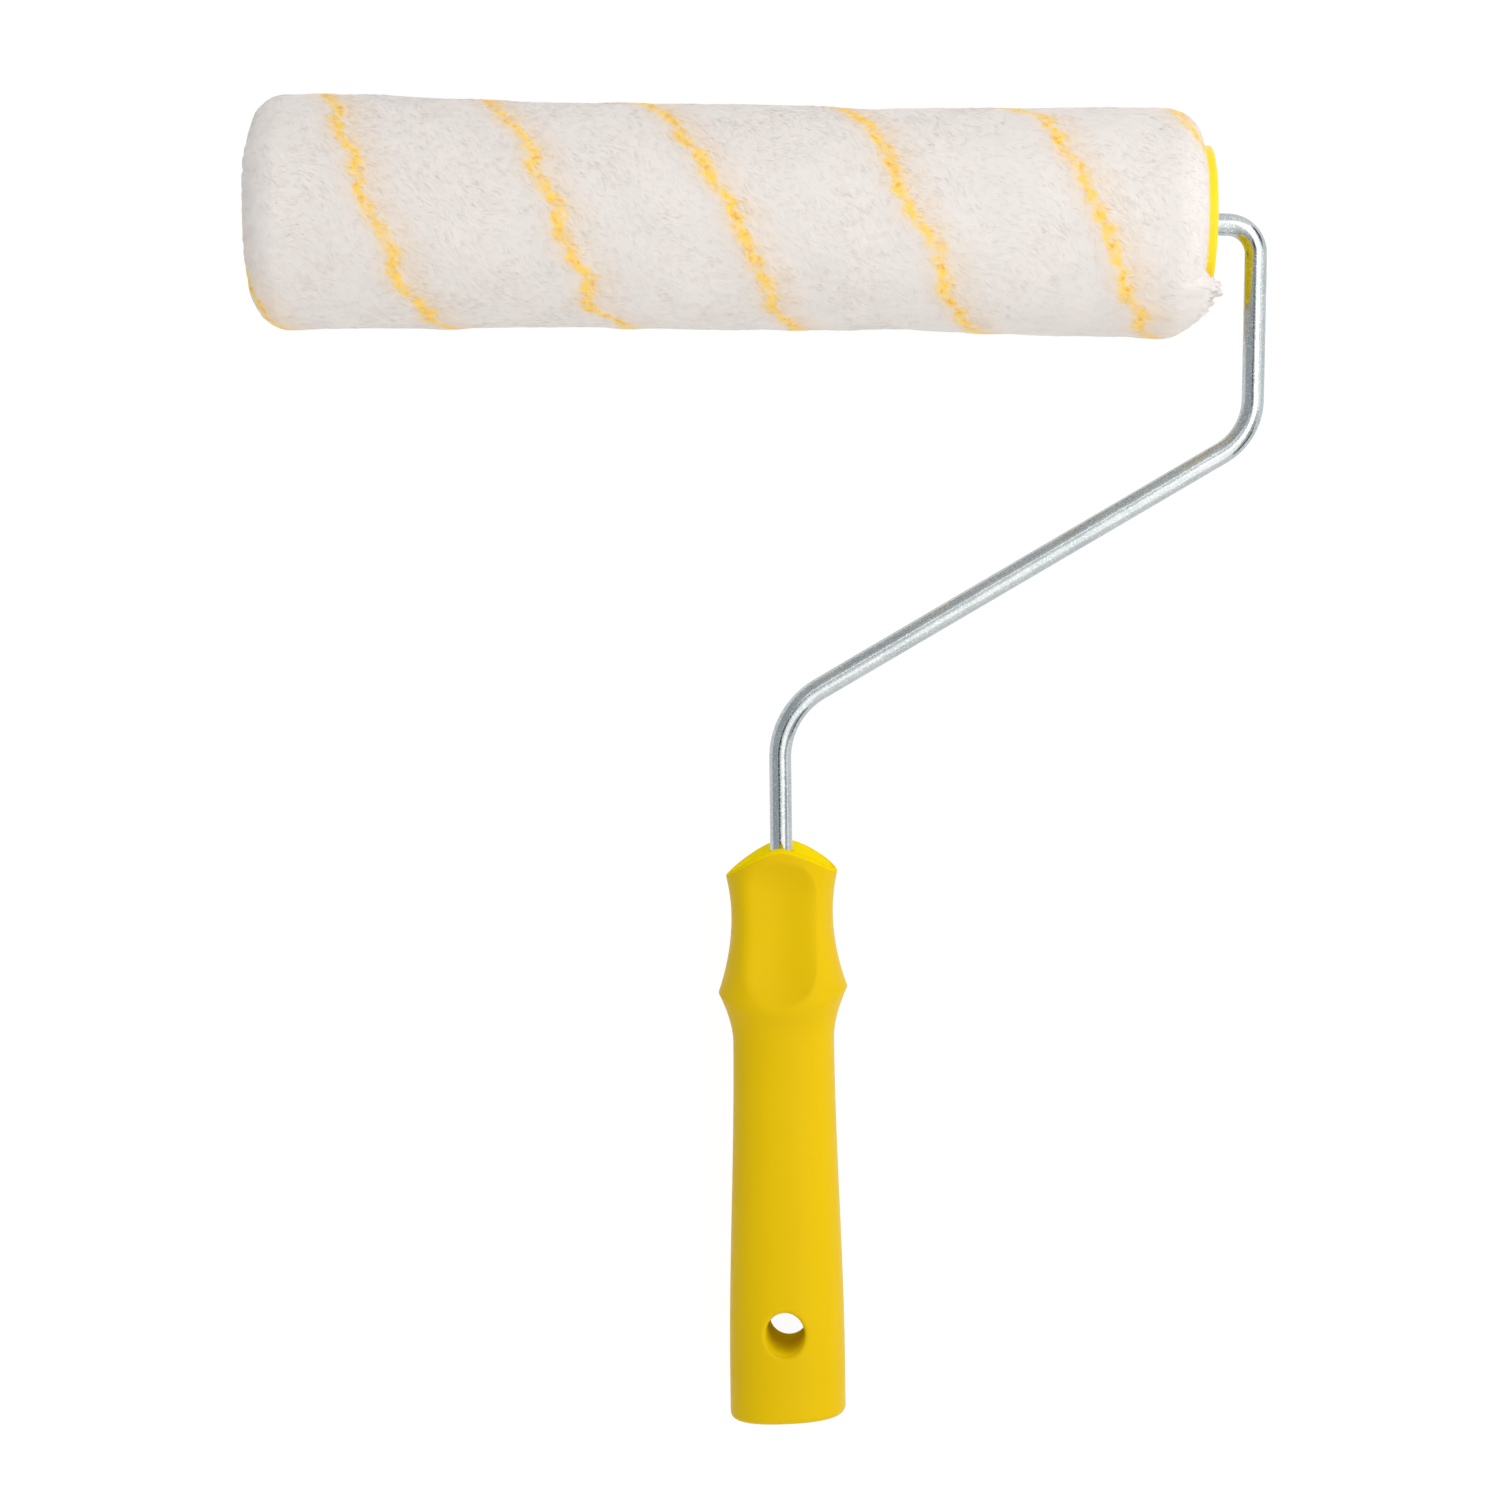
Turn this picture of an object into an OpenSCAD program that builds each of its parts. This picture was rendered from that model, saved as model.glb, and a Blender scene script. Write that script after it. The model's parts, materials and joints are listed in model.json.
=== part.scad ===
// Paint roller: a pile-covered sleeve that spins on the axle of a bent wire frame,
// with a moulded handle. It lies as it rests on a table: the sleeve and the end of
// the handle touch z = 0, the axle runs along X and the handle points to -Y.

/* [Wire frame] */
// Diameter of the wire
wire_d = 6; // [5:0.5:8]
// Distance from the handle's bend to the drop leg, along the axle
reach = 125.6; // [110:0.1:160]
// Bare axle between the near cap's face and the middle of the drop leg
axle_stub = 12.8; // [11:0.1:25]
// Length of the drop leg, between the corners of the wire's centre line
drop = 56; // [50:0.5:80]
// Slope of the diagonal below the axle's direction
diagonal_angle = 31.2; // [24:0.1:38]
// Centre-line radius of the bend between the axle and the drop leg
axle_bend_r = 7.8; // [7:0.1:9]
// Centre-line radius of the bend between the drop leg and the diagonal
drop_bend_r = 16.8; // [10:0.1:30]
// Centre-line radius of the bend above the handle
handle_bend_r = 21.4; // [12:0.1:28]
// Bare wire from the handle bend's corner to the mouth's corners
leg_len = 43.4; // [38:0.1:70]
// Lean of the handle off square to the axle
handle_lean = 1.5; // [0:0.1:3]
// Turn of the handle about its own axis
handle_twist = 3; // [0:0.5:5]
// Length of wire held in the handle, from the mouth's corners
tang_len = 85; // [60:1:100]
// Width across the swaged wings of the wire
wing_w = 10; // [9:0.5:11]
// Length of the swaged wings along the wire
wing_len = 2.4; // [2:0.1:3]
// Thickness of the swaged wings
wing_t = 3; // [2:0.1:4]

/* [Sleeve] */
// Length of the core tube
core_len = 250; // [180:1:270]
// Inside diameter of the core tube
core_id = 38; // [36:0.5:44]
// Wall of the core tube
core_wall = 1.5; // [1:0.1:2.5]
// Diameter over the pile
pile_d = 62; // [58:0.5:70]
// Radius of the pile's rounded ends
pile_end_r = 8; // [3:0.5:9]
// Glue line between the core and the pile's backing
glue_line = 0.1; // [0.05:0.05:0.3]

/* [End caps] */
// Thickness of a cap's flange
flange_t = 2.7; // [2:0.1:4]
// How far a cap's flange covers the pile's backing, past the core
flange_lip = 0.3; // [0:0.1:1]
// Length of the spigot that a cap puts in the core
spigot_len = 14; // [10:1:30]
// Wall of the spigot
spigot_wall = 1.6; // [1.2:0.1:2.5]
// Gap between the spigot and the core
spigot_gap = 0.15; // [0.05:0.05:0.3]
// Diameter of the well in a cap's face
well_d = 15; // [14:0.5:20]
// Depth of the well
well_depth = 6; // [5.5:0.5:8]
// Outside diameter of a cap's hub
hub_d = 12; // [10:0.5:14]
// Length of a cap's hub behind the well
hub_len = 12; // [8:1:24]
// Radial running clearance of the hub on the wire
hub_clearance = 0.05; // [0.02:0.01:0.1]
// Number of ribs between the hub and the spigot
rib_count = 6; // [3:1:8]
// Thickness of a rib and of the well's wall
rib_t = 1.6; // [1.2:0.1:2.4]

/* [Washers and push nut] */
// Outside diameter of a thrust washer
washer_d = 12; // [10:0.5:13]
// Thickness of a thrust washer
washer_t = 1; // [0.6:0.1:1.5]
// Radial gap between a thrust washer and the wire
washer_gap = 0.1; // [0.05:0.05:0.3]
// End play between each thrust washer and the pieces beside it
end_play = 0.1; // [0.05:0.05:0.2]
// Outside diameter of the push nut
nut_d = 11; // [9.5:0.5:13]
// Thickness of the push nut's plate
nut_plate = 0.6; // [0.4:0.1:0.8]
// Height of the push nut's rim
nut_rim = 1.8; // [1.2:0.1:2]
// Number of slots between the push nut's teeth
nut_slots = 6; // [4:1:8]

/* [Handle] */
// Length from the mouth's corners to the butt
handle_len = 147.8; // [130:0.1:170]
// Width at the mouth's corners
mouth_w = 30.5; // [29:0.1:34]
// Width at the neck
neck_w = 27.3; // [25:0.1:30]
// Width at the guard belt
belt_w = 34.8; // [32:0.1:38]
// Width at the waist, below the belt
waist_w = 27.2; // [25:0.1:30]
// Width at the belly, near the butt
belly_w = 31.2; // [29:0.1:34]
// Distance from the mouth's corners to the neck
neck_s = 12; // [10:0.5:14]
// Distance from the mouth's corners to the belt
belt_s = 31.5; // [28:0.5:34]
// Distance from the mouth's corners to the waist
waist_s = 45; // [42:0.5:48]
// Distance from the butt to the widest part of the belly
belly_up = 12.8; // [8:0.1:30]
// Thickness of the handle as a share of its width
depth_share = 0.86; // [0.8:0.01:1]
// Height of the mouth's gable over its corners
gable_h = 7.5; // [4:0.5:9]
// How far the belt dips at the front and at the back
belt_dip = 3.5; // [0:0.5:5]
// Width of the thumb scoop
scoop_w = 19.5; // [16:0.5:21]
// Depth of the thumb scoop
scoop_depth = 1.1; // [0.5:0.1:2]
// Rounding of the mouth's rim
mouth_r = 1.2; // [0.5:0.1:2]
// Rounding of the butt's edge
butt_r = 2.6; // [1.5:0.1:5]
// Diameter of the hang hole
hang_d = 10.4; // [8:0.2:12]
// Distance from the butt to the middle of the hang hole
hang_up = 24.4; // [18:0.1:35]

/* [Hidden] */
$fn = 96;

// shape of the handle's curves
section_power = 2.3;
gable_power = 1.5;
neck_power = 1.9;
belt_power = 1.7;
belt_reach = 12;
scoop_soft = 4;

// fineness of the handle's skin, and steps in a rounded edge
ring_sides = 44;
shoulder_step = 2.5;
grip_step = 8;
round_steps = 4;

// how far a cutting body runs past the face that it cuts
cut = 1;

// a bend's wire is this much fatter in radius, and laps the straight wire by this much
bend_swell = 0.02;
bend_lap = 0.2;

// wire: corners and headings of its centre line in its own plane
wire_r = wire_d / 2;
corner_axle = [reach, 0];
corner_drop = [reach, -drop];
corner_handle = [0, -drop - reach * tan(diagonal_angle)];
heading_axle = 0;
heading_drop = -90;
heading_diagonal = -180 + diagonal_angle;
heading_leg = -90 + handle_lean;

// sleeve: places along the axle
near_face = reach - axle_stub;
core_near = near_face - flange_t;
core_far = core_near - core_len;
far_face = core_far - flange_t;
core_r = core_id / 2 + core_wall;
flange_r = core_r + flange_lip;
flange_round = 1;
pile_r = pile_d / 2;

// what the wire carries in the caps' wells
near_washer_x = near_face - well_depth + end_play;
wing_x = near_washer_x + washer_t + end_play;
far_washer_x = far_face + well_depth - end_play - washer_t;
nut_x = far_washer_x - end_play;
tip_inset = 1;
axle_tip = far_face + tip_inset;

// handle: distances from the mouth's corners
belly_s = handle_len - belly_up;
hang_s = handle_len - hang_up;
grip_end = handle_len - butt_r;
tang_wing_s = tang_len - wing_len - wire_d;

function clamp01(v) = min(max(v, 0), 1);
function ease(v) = let (c = clamp01(v)) c * c * (3 - 2 * c);
function bell(v) = ease(1 - abs(v));
function signed_pow(v, p) = sign(v) * pow(abs(v), p);
function toward(heading) = [cos(heading), sin(heading)];
function tangent_len(turn, r) = r * tan(abs(turn) / 2);

// half of the handle's width at a distance s from the mouth's corners
function half_width(s) =
    s < neck_s
    ? (neck_w + (mouth_w - neck_w) * pow((neck_s - s) / neck_s, 2)) / 2
    : s < belt_s
    ? (neck_w + (belt_w - neck_w) * pow((s - neck_s) / (belt_s - neck_s), neck_power)) / 2
    : s < waist_s
    ? (waist_w + (belt_w - waist_w) * pow((waist_s - s) / (waist_s - belt_s), belt_power)) / 2
    : (waist_w + (belly_w - waist_w) * ease((s - waist_s) / (belly_s - waist_s))) / 2;

// how far the mouth's gable pulls the skin towards the wire
function gable(across, s) =
    gable_h * (1 - pow(abs(across), gable_power)) * (1 - ease(s / belt_s));

// how far the belt's dip pushes the skin towards the butt
function dip(through, s) =
    belt_dip * through * through * bell((s - belt_s) / belt_reach);

// depth of the thumb scoop, x across and s along the handle
function scoop(x, s) =
    scoop_depth
    * ease((scoop_w / 2 - abs(x)) / scoop_soft)
    * ease((s + gable_h) / scoop_soft)
    * ease((belt_s + belt_dip - s) / scoop_soft);

// a point of the skin: x across, z through, -y towards the butt
function skin_point(s, inset, angle) =
    let (
        across = signed_pow(cos(angle), 2 / section_power),
        through = signed_pow(sin(angle), 2 / section_power),
        along = s - gable(across, s) + dip(through, s),
        x = (half_width(s) - inset) * across,
        z = (half_width(s) * depth_share - inset) * through
    )
    [x, -along, z - scoop(x, along) * through];

// rings of the skin from the mouth to the butt, as [distance, inset]
shoulder_count = ceil((belt_s - mouth_r) / shoulder_step);
waist_count = ceil((waist_s - belt_s) / shoulder_step);
grip_count = ceil((grip_end - waist_s) / grip_step);
rings = [
    for (i = [0 : round_steps - 1]) let (a = 90 * i / round_steps)
        [mouth_r * (1 - cos(a)), mouth_r * (1 - sin(a))],
    for (i = [0 : shoulder_count - 1])
        [mouth_r + (belt_s - mouth_r) * i / shoulder_count, 0],
    for (i = [0 : waist_count - 1])
        [belt_s + (waist_s - belt_s) * i / waist_count, 0],
    for (i = [0 : grip_count - 1])
        [waist_s + (grip_end - waist_s) * i / grip_count, 0],
    for (i = [0 : round_steps]) let (a = 90 * i / round_steps)
        [grip_end + butt_r * sin(a), butt_r * (1 - cos(a))]
];
skin = [
    for (ring = rings, j = [0 : ring_sides - 1])
        skin_point(ring[0], ring[1], 360 * j / ring_sides)
];
mouth_middle = [0, gable_h, 0];
butt_middle = [0, -handle_len, 0];

// how it lies: the pile and the butt's lower edge touch z = 0
low_power = section_power / (section_power - 1);
low_half = belly_w / 2;
low_reach = pow(pow(low_half * sin(handle_twist), low_power)
    + pow(low_half * depth_share * cos(handle_twist), low_power), 1 / low_power);
low_y = -corner_handle.y + (leg_len + grip_end) * cos(handle_lean);
rest_tilt = asin(pile_r / norm([low_y, low_reach])) - atan2(low_reach, low_y);

// a point of the handle as the wire's plane sees it, and its Y once laid down
function in_plane(p) =
    let (
        turned_x = p.x * cos(handle_twist) - p.z * sin(handle_twist),
        turned_z = p.x * sin(handle_twist) + p.z * cos(handle_twist),
        far_y = p.y - leg_len
    )
    [turned_x * cos(handle_lean) - far_y * sin(handle_lean),
     corner_handle.y + turned_x * sin(handle_lean) + far_y * cos(handle_lean),
     turned_z];
function laid_y(p) = p.y * cos(rest_tilt) - p.z * sin(rest_tilt);
butt_y = min([for (p = skin) laid_y(in_plane(p))]);
middle_x = (far_face + reach + wire_r) / 2;
middle_y = (butt_y + pile_r) / 2;

// stands the wire's plane on the table, middle of the whole roller at x = y = 0
module laid() {
    translate([-middle_x, -middle_y, pile_r])
        rotate([rest_tilt, 0, 0])
            children();
}

// puts children made in the handle's own frame on the wire's last leg
module on_leg() {
    translate([0, corner_handle.y, 0])
        rotate([0, 0, handle_lean])
            translate([0, -leg_len, 0])
                children();
}

// turns children made along +Z to lie along the axle from x = at
module along_axle(at) {
    translate([at, 0, 0])
        rotate([0, 90, 0])
            children();
}

// straight wire from one point towards another, lapping the bends at its ends
module straight(from, to, lap_start = bend_lap, lap_end = bend_lap) {
    run = to - from;
    translate([from.x, from.y, 0])
        rotate([0, 0, atan2(run.y, run.x)])
            translate([-lap_start, 0, 0])
                rotate([0, 90, 0])
                    cylinder(d = wire_d, h = norm(run) + lap_start + lap_end);
}

// bend of the wire at a corner that it meets on one heading and leaves on the next
module bend(corner, heading, next_heading, r) {
    turn = next_heading - heading;
    side = heading + 90 * sign(turn);
    middle = corner - tangent_len(turn, r) * toward(heading) + r * toward(side);
    translate([middle.x, middle.y, 0])
        rotate([0, 0, min(side + 180, side + 180 + turn)])
            rotate_extrude(angle = abs(turn))
                translate([r, 0])
                    circle(r = wire_r + bend_swell);
}

// pair of wings pressed out of the wire, along +Z
module wings() {
    intersection() {
        cylinder(d = wing_w, h = wing_len);
        translate([-wing_t / 2, -wing_w, 0])
            cube([wing_t, 2 * wing_w, wing_len]);
    }
}

module tang_wings() {
    translate([0, -tang_wing_s, 0])
        rotate([90, 0, 0])
            wings();
}

module handle() {
    count = len(rings);
    last = ring_sides - 1;
    mouth_index = len(skin);
    butt_index = mouth_index + 1;
    sides = [
        for (i = [0 : count - 2], j = [0 : last])
            let (
                a = i * ring_sides + j,
                b = i * ring_sides + (j + 1) % ring_sides,
                c = a + ring_sides,
                d = b + ring_sides
            )
            each [[a, b, c], [b, d, c]]
    ];
    mouth_fan = [
        for (j = [0 : last])
            [mouth_index, (j + 1) % ring_sides, j]
    ];
    butt_start = (count - 1) * ring_sides;
    butt_fan = [
        for (j = [0 : last])
            [butt_index, butt_start + j, butt_start + (j + 1) % ring_sides]
    ];
    color("gold")
        laid()
            on_leg()
                difference() {
                    rotate([0, -handle_twist, 0])
                        polyhedron(
                            points = concat(skin, [mouth_middle, butt_middle]),
                            faces = concat(sides, mouth_fan, butt_fan)
                        );
                    translate([0, gable_h + cut, 0])
                        rotate([90, 0, 0])
                            cylinder(d = wire_d, h = gable_h + cut + tang_len);
                    tang_wings();
                    translate([0, -hang_s, 0])
                        rotate([0, -handle_twist, 0])
                            translate([0, 0, -belt_w / 2])
                                cylinder(d = hang_d, h = belt_w);
                }
}

module wire_frame() {
    axle_len = tangent_len(heading_drop - heading_axle, axle_bend_r);
    drop_len = tangent_len(heading_diagonal - heading_drop, drop_bend_r);
    handle_bend_len = tangent_len(heading_leg - heading_diagonal, handle_bend_r);
    color("silver")
        laid() {
            straight([axle_tip, 0], corner_axle - axle_len * toward(heading_axle),
                lap_start = 0);
            bend(corner_axle, heading_axle, heading_drop, axle_bend_r);
            straight(corner_axle + axle_len * toward(heading_drop),
                corner_drop - drop_len * toward(heading_drop));
            bend(corner_drop, heading_drop, heading_diagonal, drop_bend_r);
            straight(corner_drop + drop_len * toward(heading_diagonal),
                corner_handle - handle_bend_len * toward(heading_diagonal));
            bend(corner_handle, heading_diagonal, heading_leg, handle_bend_r);
            straight(corner_handle + handle_bend_len * toward(heading_leg),
                corner_handle + (leg_len + tang_len) * toward(heading_leg),
                lap_end = 0);
            along_axle(wing_x)
                wings();
            on_leg()
                tang_wings();
        }
}

module thrust_washer(at) {
    color("lightgray")
        laid()
            along_axle(at)
                difference() {
                    cylinder(d = washer_d, h = washer_t);
                    translate([0, 0, -cut])
                        cylinder(r = wire_r + washer_gap, h = washer_t + 2 * cut);
                }
}

module near_washer() {
    thrust_washer(near_washer_x);
}

module far_washer() {
    thrust_washer(far_washer_x);
}

module push_nut() {
    tooth_len = 1.4;
    slot_w = 0.8;
    color("gray")
        laid()
            along_axle(nut_x)
                mirror([0, 0, 1])
                    difference() {
                        cylinder(d = nut_d, h = nut_rim);
                        translate([0, 0, nut_plate])
                            cylinder(d = nut_d - 2 * nut_plate, h = nut_rim);
                        translate([0, 0, -cut])
                            cylinder(d = wire_d, h = nut_rim + 2 * cut);
                        for (i = [0 : nut_slots - 1])
                            rotate([0, 0, 360 * i / nut_slots])
                                translate([0, -slot_w / 2, -cut])
                                    cube([wire_r + tooth_len, slot_w, nut_rim + 2 * cut]);
                    }
}

// cap made along +Z: its face at z = 0, its spigot and hub towards -Z
module end_cap() {
    spigot_r = core_id / 2 - spigot_gap;
    well_r = well_d / 2;
    rib_len = spigot_len - 2 * rib_t;
    rib_start = (wire_r + hub_clearance + hub_d / 2) / 2;
    rib_end = spigot_r - spigot_wall / 2;
    rim = [
        for (i = [0 : round_steps]) let (a = 90 * i / round_steps)
            [flange_r - flange_round * (1 - cos(a)), -flange_round * (1 - sin(a))]
    ];
    difference() {
        union() {
            rotate_extrude()
                polygon(concat([[0, 0], [0, -flange_t], [flange_r, -flange_t]], rim));
            translate([0, 0, -flange_t - spigot_len])
                difference() {
                    cylinder(r = spigot_r, h = spigot_len + flange_t / 2);
                    translate([0, 0, -cut])
                        cylinder(r = spigot_r - spigot_wall, h = spigot_len + cut);
                }
            translate([0, 0, -well_depth - rib_t])
                cylinder(r = well_r + rib_t, h = well_depth + rib_t - flange_t / 2);
            translate([0, 0, -well_depth - hub_len])
                cylinder(d = hub_d, h = hub_len);
            for (i = [0 : rib_count - 1])
                rotate([0, 0, 360 * i / rib_count])
                    translate([rib_start, -rib_t / 2, -flange_t - rib_len])
                        cube([rib_end - rib_start, rib_t, rib_len + flange_t / 2]);
        }
        translate([0, 0, -well_depth])
            cylinder(r = well_r, h = well_depth + cut);
        translate([0, 0, -well_depth - hub_len - cut])
            cylinder(r = wire_r + hub_clearance, h = hub_len + well_depth + 2 * cut);
    }
}

module near_end_cap() {
    color("yellow")
        laid()
            along_axle(near_face)
                end_cap();
}

module far_end_cap() {
    color("yellow")
        laid()
            along_axle(far_face)
                mirror([0, 0, 1])
                    end_cap();
}

module core_tube() {
    color("tan")
        laid()
            along_axle(core_far)
                difference() {
                    cylinder(r = core_r, h = core_len);
                    translate([0, 0, -cut])
                        cylinder(d = core_id, h = core_len + 2 * cut);
                }
}

module pile_cover() {
    color("ivory")
        laid()
            along_axle(core_far)
                difference() {
                    union() {
                        cylinder(r = pile_r - pile_end_r, h = core_len);
                        translate([0, 0, pile_end_r])
                            cylinder(r = pile_r, h = core_len - 2 * pile_end_r);
                        for (z = [pile_end_r, core_len - pile_end_r])
                            translate([0, 0, z])
                                rotate_extrude()
                                    translate([pile_r - pile_end_r, 0])
                                        circle(r = pile_end_r);
                    }
                    translate([0, 0, -cut])
                        cylinder(r = core_r + glue_line, h = core_len + 2 * cut);
                }
}

handle();
wire_frame();
near_washer();
far_washer();
push_nut();
near_end_cap();
far_end_cap();
core_tube();
pile_cover();
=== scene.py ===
"""Paint roller: a yellow moulded handle, a bent zinc wire and a long-pile sleeve with marker stripes."""

import json
import math

import bmesh
import bpy
import numpy as np
from bpy.props import FloatProperty
from bpy.props import FloatVectorProperty
from bpy.props import IntProperty
from bpy.props import PointerProperty
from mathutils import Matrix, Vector
from mathutils import noise


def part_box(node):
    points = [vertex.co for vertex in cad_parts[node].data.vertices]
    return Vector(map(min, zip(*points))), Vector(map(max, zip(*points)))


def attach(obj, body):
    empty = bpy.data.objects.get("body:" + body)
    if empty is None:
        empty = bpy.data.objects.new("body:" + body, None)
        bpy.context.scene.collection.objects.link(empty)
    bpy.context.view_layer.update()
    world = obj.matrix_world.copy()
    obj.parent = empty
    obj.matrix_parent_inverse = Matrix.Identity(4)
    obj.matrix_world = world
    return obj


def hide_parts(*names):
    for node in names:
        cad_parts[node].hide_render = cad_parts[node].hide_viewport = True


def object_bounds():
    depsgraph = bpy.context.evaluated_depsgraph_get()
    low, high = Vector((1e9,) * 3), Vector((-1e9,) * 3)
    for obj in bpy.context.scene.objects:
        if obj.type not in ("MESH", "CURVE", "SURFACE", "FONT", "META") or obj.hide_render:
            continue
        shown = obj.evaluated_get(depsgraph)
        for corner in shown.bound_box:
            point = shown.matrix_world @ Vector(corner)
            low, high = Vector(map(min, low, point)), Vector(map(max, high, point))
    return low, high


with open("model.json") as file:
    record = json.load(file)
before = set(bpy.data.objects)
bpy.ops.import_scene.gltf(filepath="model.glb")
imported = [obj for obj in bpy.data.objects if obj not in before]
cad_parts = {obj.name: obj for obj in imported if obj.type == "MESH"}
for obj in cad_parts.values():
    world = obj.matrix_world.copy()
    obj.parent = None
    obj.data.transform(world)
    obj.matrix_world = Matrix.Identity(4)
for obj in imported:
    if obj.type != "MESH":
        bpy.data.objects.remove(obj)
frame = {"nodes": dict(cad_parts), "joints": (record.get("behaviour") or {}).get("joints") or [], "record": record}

bl_info = {
    "name": "Paint roller",
    "version": (1, 0, 0),
    "blender": (4, 5, 0),
    "location": "View3D > Sidebar > Roller",
    "description": "Builds the handle, wire frame, caps and pile sleeve of a paint roller",
    "category": "Object",
}

MM = 0.001
CAD_LOW, CAD_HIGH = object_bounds()


# ---------------------------------------------------------------- curves that shape the pieces

def ease(v):
    """Smooth step from 0 to 1."""
    c = np.clip(v, 0.0, 1.0)
    return c * c * (3.0 - 2.0 * c)


def bell(v):
    """1 at v = 0, falling smoothly to 0 at v = -1 and v = 1."""
    return ease(1.0 - np.abs(v))


def signed_pow(v, power):
    """Power of |v| that keeps the sign of v."""
    return np.sign(v) * np.abs(v) ** power


def mixed(a, b, share):
    """a at share 0, b at share 1."""
    return a + (b - a) * share


def noise_at(points, scale, offset=0.0):
    """Smooth noise from about -1 to 1 at each row of points."""
    shifted = points * scale + offset
    return np.array([noise.noise(Vector(p)) for p in shifted])


# ---------------------------------------------------------------- meshes

def linked(name, data):
    """An object that shows the data, linked to the scene."""
    shown = bpy.data.objects.new(name, data)
    bpy.context.scene.collection.objects.link(shown)
    return shown


def new_piece(name, verts, faces, material):
    """A smooth mesh object with outward faces, linked to the scene."""
    mesh = bpy.data.meshes.new(name)
    mesh.from_pydata([tuple(v) for v in verts], [], faces)
    work = bmesh.new()
    work.from_mesh(mesh)
    bmesh.ops.recalc_face_normals(work, faces=work.faces)
    work.to_mesh(mesh)
    work.free()
    mesh.polygons.foreach_set("use_smooth", [True] * len(mesh.polygons))
    mesh.materials.append(material)
    return linked(name, mesh)


def ring_faces(rows, sides):
    """Quads between rows of a tube, each row a closed ring of points."""
    faces = []
    for row in range(rows - 1):
        for side in range(sides):
            a = row * sides + side
            b = row * sides + (side + 1) % sides
            faces.append((a, b, b + sides, a + sides))
    return faces


class Shell:
    """Points and faces of a skin that grows loop by loop from a tube."""

    def __init__(self, rows):
        self.points = np.concatenate(rows)
        self.faces = ring_faces(len(rows), len(rows[0]))

    def loop(self, points):
        """Adds a loop of points and returns their numbers."""
        start = len(self.points)
        self.points = np.concatenate([self.points, points])
        return list(range(start, start + len(points)))

    def bridge(self, loops):
        """Quads from each loop of point numbers to the next."""
        for upper, lower in zip(loops, loops[1:]):
            for here in range(len(upper)):
                after = (here + 1) % len(upper)
                self.faces.append((upper[here], upper[after], lower[after], lower[here]))


def write_values(mesh, name, values):
    """One number for each point of the mesh."""
    layer = mesh.attributes.new(name, "FLOAT", "POINT")
    layer.data.foreach_set("value", np.asarray(values, np.float32))


# ---------------------------------------------------------------- node materials

class Nodes:
    """A node tree under construction, with short calls for the nodes that finishes and light share."""

    def __init__(self, owner):
        owner.use_nodes = True
        self.tree = owner.node_tree

    def add(self, kind, **settings):
        """A node with its settings."""
        node = self.tree.nodes.new(kind)
        for key, value in settings.items():
            setattr(node, key, value)
        return node

    def feed(self, socket, value):
        """Links an output to a socket, or sets a plain value on it."""
        if isinstance(value, bpy.types.NodeSocket):
            self.tree.links.new(value, socket)
        else:
            socket.default_value = value

    def maths(self, operation, a, b=0.0):
        """One sum on numbers."""
        node = self.add("ShaderNodeMath", operation=operation)
        self.feed(node.inputs[0], a)
        self.feed(node.inputs[1], b)
        return node.outputs["Value"]

    def product(self, *factors):
        """Numbers multiplied together."""
        result = factors[0]
        for factor in factors[1:]:
            result = self.maths("MULTIPLY", result, factor)
        return result

    def fitted(self, value, low, high, to_low=0.0, to_high=1.0, smooth=True):
        """Value carried from one range to another and held there."""
        node = self.add("ShaderNodeMapRange", interpolation_type="SMOOTHSTEP" if smooth else "LINEAR")
        self.feed(node.inputs["Value"], value)
        for key, limit in (("From Min", low), ("From Max", high), ("To Min", to_low), ("To Max", to_high)):
            self.feed(node.inputs[key], limit)
        return node.outputs["Result"]

    def blend(self, share, a, b, way="MIX"):
        """Colour a at share 0, colour b at share 1."""
        node = self.add("ShaderNodeMix", data_type="RGBA", blend_type=way)
        self.feed(node.inputs["Factor"], share)
        self.feed(node.inputs[6], a)
        self.feed(node.inputs[7], b)
        return node.outputs[2]

    def split(self, vector):
        """The X, Y and Z of a vector."""
        node = self.add("ShaderNodeSeparateXYZ")
        self.feed(node.inputs[0], vector)
        return node.outputs

    def joined(self, x, y, z):
        """A vector from its X, Y and Z."""
        node = self.add("ShaderNodeCombineXYZ")
        for socket, value in zip(node.inputs, (x, y, z)):
            self.feed(socket, value)
        return node.outputs["Vector"]


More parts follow.
